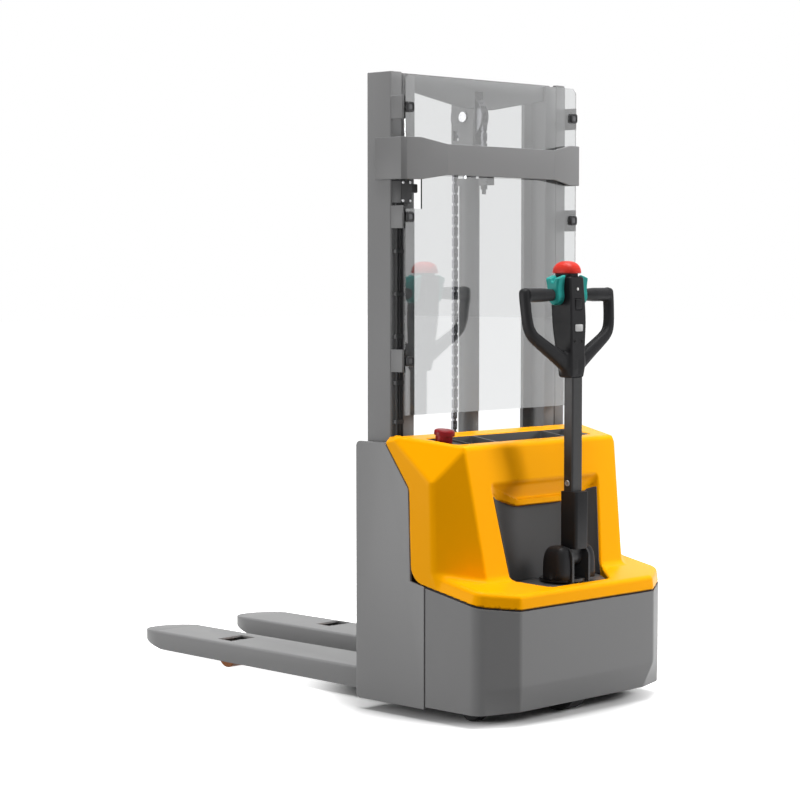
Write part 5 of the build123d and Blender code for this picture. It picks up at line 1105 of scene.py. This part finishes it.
# Belly button: a hollow red cap on the head's neck, pressed when the truck runs towards its driver. One domed
# moulding, rounded all over.
BELLY_CELL = 0.0015
BELLY_ROOM = (0.037, (-0.374, -0.285), (1.238, 1.284))
BELLY_CENTRE = (-0.3295, 1.2445)
BELLY_HALVES = (0.0335, 0.0405, 0.0340)
BELLY_POWERS = (2.6, 2.2, 2.4)
BELLY_SCALE = 0.03
BELLY_FOOT = 1.2435
BELLY_ROUND = 0.003
HOLLOW_HALVES = (0.0228, 0.0288)
HOLLOW_ROUND = 0.0105
HOLLOW_TOP = 1.258
red_cap = finish("red_moulding", (0.50, 0.030, 0.020), 0.04, (0.3, 0.4), patches=30, grains=1200, depth=0.1,
                 specular=0.12)


def belly_field(x, y, z):
    """Half a superellipsoid, flat below, less the hollow for the neck."""
    ax, d = np.abs(x), y - REAR_FACE
    wide, deep, tall = BELLY_HALVES
    level, rising, whole = BELLY_POWERS
    plan = (ax / wide) ** level + (np.abs(d - BELLY_CENTRE[0]) / deep) ** level
    dome = (plan + (np.maximum(z - BELLY_CENTRE[1], 0) / tall) ** rising + 1e-9) ** (1 / whole)
    body = round_max((dome - 1) * BELLY_SCALE, BELLY_FOOT - z, BELLY_ROUND)
    hollow = round_max(ax - HOLLOW_HALVES[0], np.abs(d - NECK_DEPTH) - HOLLOW_HALVES[1], HOLLOW_ROUND)
    return np.maximum(body, -np.maximum(hollow, z - HOLLOW_TOP))


add_moulding("belly_cap", belly_field, BELLY_ROOM, BELLY_CELL, red_cap, "belly_button", "red_plastic", "belly_button")

# Lift rocker and small parts of the head: a key in the head's rear face moulded in the head's own grey, a clear lamp
# above it, a pale blank window and two black screw heads below.
KEY_EASE = 0.002
LAMP_PLACE = (0, REAR_FACE - 0.3703, 1.199)
WINDOW_DEPTHS = (-0.3735, -0.3761, -0.3765)
WINDOW_HEIGHT = 1.0905
WINDOW_HALVES = ((0.0100, 0.0165), (0.0100, 0.0165), (0.0094, 0.0159))
WINDOW_POWER = 7
SCREW_PLACE = (0.0163, REAR_FACE - 0.3745, 1.0532)
eased(tiller_plastic, KEY_EASE, "lift_rocker")
lamp_white = finish("lamp_lens", (0.8, 0.8, 0.78), 0.03, (0.1, 0.15), patches=60, depth=0.02)
window_grey = finish("window_grey", (0.42, 0.42, 0.42), 0.04, (0.2, 0.3), patches=30, depth=0.03)
lamp_profile = [(0.0042, -0.002), (0.0042, 0.0006), (0.0032, 0.0016), (0.0015, 0.0020)]
head_lamp = dished(lamp_profile, LAMP_PLACE, backwards, steps=24)
add_piece("head_lamp", *head_lamp, lamp_white, "tiller", "black_plastic")
window_path = [(0, REAR_FACE + depth, WINDOW_HEIGHT) for depth in WINDOW_DEPTHS]
head_window = swept(window_path, (1, 0, 0), WINDOW_HALVES, steps=48, power=WINDOW_POWER)
add_piece("head_window", *head_window, window_grey, "tiller", "black_plastic")
screw_places = [(hand * SCREW_PLACE[0], *SCREW_PLACE[1:]) for hand in (-1, 1)]
head_screws = dished_row(screw_profile, screw_places, backwards, steps=20)
screw_black = finish("black_screw", (0.005, 0.005, 0.005), 0.2, (0.4, 0.5), patches=80)
add_piece("head_screws", *head_screws, screw_black, "tiller", "black_plastic")

# Studio: a white floor that runs out of sight and keeps the truck's shadow, a large soft box on each side, a card on
# the right, two soft boxes overhead and a weak fill, and a camera with a long lens at the operator's left.
CAMERA_PLACE = (-4.892, -4.9435, 1.253)
CAMERA_BACK = np.array((-0.70902, -0.70287, 0.05719))
LENS = 102.06
SENSOR = 36
FLOOR_REACH = 40
SHADOW_MIDDLE = (0.0, 0.45, 0.0)
SHADOW_REACH = (0.38, 0.62)
ROOM_LIGHT = 0.12
SIGHT = 100


def seen_white(tree):
    """One where a ray comes from the camera, a reflection or clear sheet, and nought where it only carries light."""
    path = tree.nodes.new("ShaderNodeLightPath")
    first, second = tree.nodes.new("ShaderNodeMath"), tree.nodes.new("ShaderNodeMath")
    first.operation = second.operation = "MAXIMUM"
    tree.links.new(path.outputs["Is Camera Ray"], first.inputs[0])
    tree.links.new(path.outputs["Is Glossy Ray"], first.inputs[1])
    tree.links.new(first.outputs[0], second.inputs[0])
    tree.links.new(path.outputs["Is Transmission Ray"], second.inputs[1])
    return second.outputs[0]


floor_paper = bpy.data.materials.new("floor_paper")
floor_paper.use_nodes = True
tree = floor_paper.node_tree
tree.nodes.remove(tree.nodes["Principled BSDF"])
paper, dark = tree.nodes.new("ShaderNodeBsdfDiffuse"), tree.nodes.new("ShaderNodeBsdfDiffuse")
paper.inputs["Color"].default_value = (0.8, 0.8, 0.8, 1)
dark.inputs["Color"].default_value = (0.18, 0.18, 0.18, 1)
place, shift = tree.nodes.new("ShaderNodeTexCoord"), tree.nodes.new("ShaderNodeMapping")
shift.inputs["Location"].default_value = SHADOW_MIDDLE
away, fade = tree.nodes.new("ShaderNodeVectorMath"), tree.nodes.new("ShaderNodeMapRange")
away.operation, fade.interpolation_type = "LENGTH", "SMOOTHSTEP"
fade.inputs["From Min"].default_value, fade.inputs["From Max"].default_value = SHADOW_REACH
# Painted light: seen from the camera the floor also glows, from nothing near the truck to full white a little way out,
# which whites out the truck's cast shadow beyond its foot.
glow = tree.nodes.new("ShaderNodeEmission")
both, pick = tree.nodes.new("ShaderNodeAddShader"), tree.nodes.new("ShaderNodeMixShader")
for start, end in (
    (place.outputs["Object"], shift.inputs["Vector"]),
    (shift.outputs["Vector"], away.inputs[0]),
    (away.outputs["Value"], fade.inputs["Value"]),
    (fade.outputs["Result"], glow.inputs["Strength"]),
    (paper.outputs[0], both.inputs[0]),
    (glow.outputs[0], both.inputs[1]),
    (seen_white(tree), pick.inputs[0]),
    (dark.outputs[0], pick.inputs[1]),
    (both.outputs[0], pick.inputs[2]),
    (pick.outputs[0], tree.nodes["Material Output"].inputs["Surface"]),
):
    tree.links.new(start, end)
floor_mesh = bpy.data.meshes.new("studio_floor")
floor_corners = [(a * FLOOR_REACH, b * FLOOR_REACH, 0) for a, b in ((-1, -1), (1, -1), (1, 1), (-1, 1))]
floor_mesh.from_pydata(floor_corners, [], [(0, 1, 2, 3)])
floor_mesh.materials.append(floor_paper)
studio_floor = bpy.data.objects.new("studio_floor", floor_mesh)
scene.collection.objects.link(studio_floor)

studio = bpy.data.worlds.new("studio")
studio.use_nodes = True
scene.world = studio
tree = studio.node_tree
dim = tree.nodes["Background"]
dim.inputs["Color"].default_value = (1, 1, 1, 1)
dim.inputs["Strength"].default_value = ROOM_LIGHT
white = tree.nodes.new("ShaderNodeBackground")
white.inputs["Color"].default_value = (1, 1, 1, 1)
white.inputs["Strength"].default_value = 1
pick = tree.nodes.new("ShaderNodeMixShader")
tree.links.new(seen_white(tree), pick.inputs[0])
tree.links.new(dim.outputs[0], pick.inputs[1])
tree.links.new(white.outputs[0], pick.inputs[2])
tree.links.new(pick.outputs[0], tree.nodes["World Output"].inputs["Surface"])


def facing(place, back):
    """Matrix of a lamp or camera at a place, with its back along a direction and its top upwards."""
    back = np.asarray(back, float) / np.linalg.norm(back)
    right = np.cross((0, 0, 1), back)
    right = right / np.linalg.norm(right)
    matrix = np.eye(4)
    matrix[:3, 0], matrix[:3, 1], matrix[:3, 2], matrix[:3, 3] = right, np.cross(back, right), back, place
    return Matrix(matrix.tolist())


for name, place, aim, size, power, mirrored in (
    ("left_softbox", (-4.5, 2.1, 1.1), (0, -0.3, 0.7), (2.2, 2.0), 118, True),
    ("right_softbox", (3.6, -3.55, 2.0), (0, -0.4, 0.8), (1.2, 1.2), 178, False),
    ("right_card", (3.7, -4.1, 1.35), (0, -0.46, 1.3), (2.0, 2.7), 27, False),
    ("top_softbox", (0.1, 0.6, 4.6), (0, 0.2, 0.5), (2.6, 2.6), 126, True),
    ("rear_softbox", (-0.1, -1.1, 4.0), (0, -0.6, 0.7), (1.5, 1.5), 110, True),
    ("camera_fill", (-3.5, -3.5, 2.2), (0, -0.5, 0.7), (2.0, 2.0), 45, False),
):
    lamp_data = bpy.data.lights.new(name, "AREA")
    lamp_data.shape, lamp_data.energy = "RECTANGLE", power
    lamp_data.size, lamp_data.size_y = size
    lamp = bpy.data.objects.new(name, lamp_data)
    lamp.matrix_world = facing(place, np.subtract(place, aim))
    lamp.visible_camera, lamp.visible_glossy, lamp.visible_transmission = False, mirrored, mirrored
    scene.collection.objects.link(lamp)

camera_data = bpy.data.cameras.new("camera")
camera_data.lens, camera_data.sensor_width, camera_data.clip_end = LENS, SENSOR, SIGHT
camera = bpy.data.objects.new("camera", camera_data)
camera.matrix_world = facing(CAMERA_PLACE, CAMERA_BACK)
scene.collection.objects.link(camera)
scene.camera = camera
scene.view_settings.view_transform = "Standard"
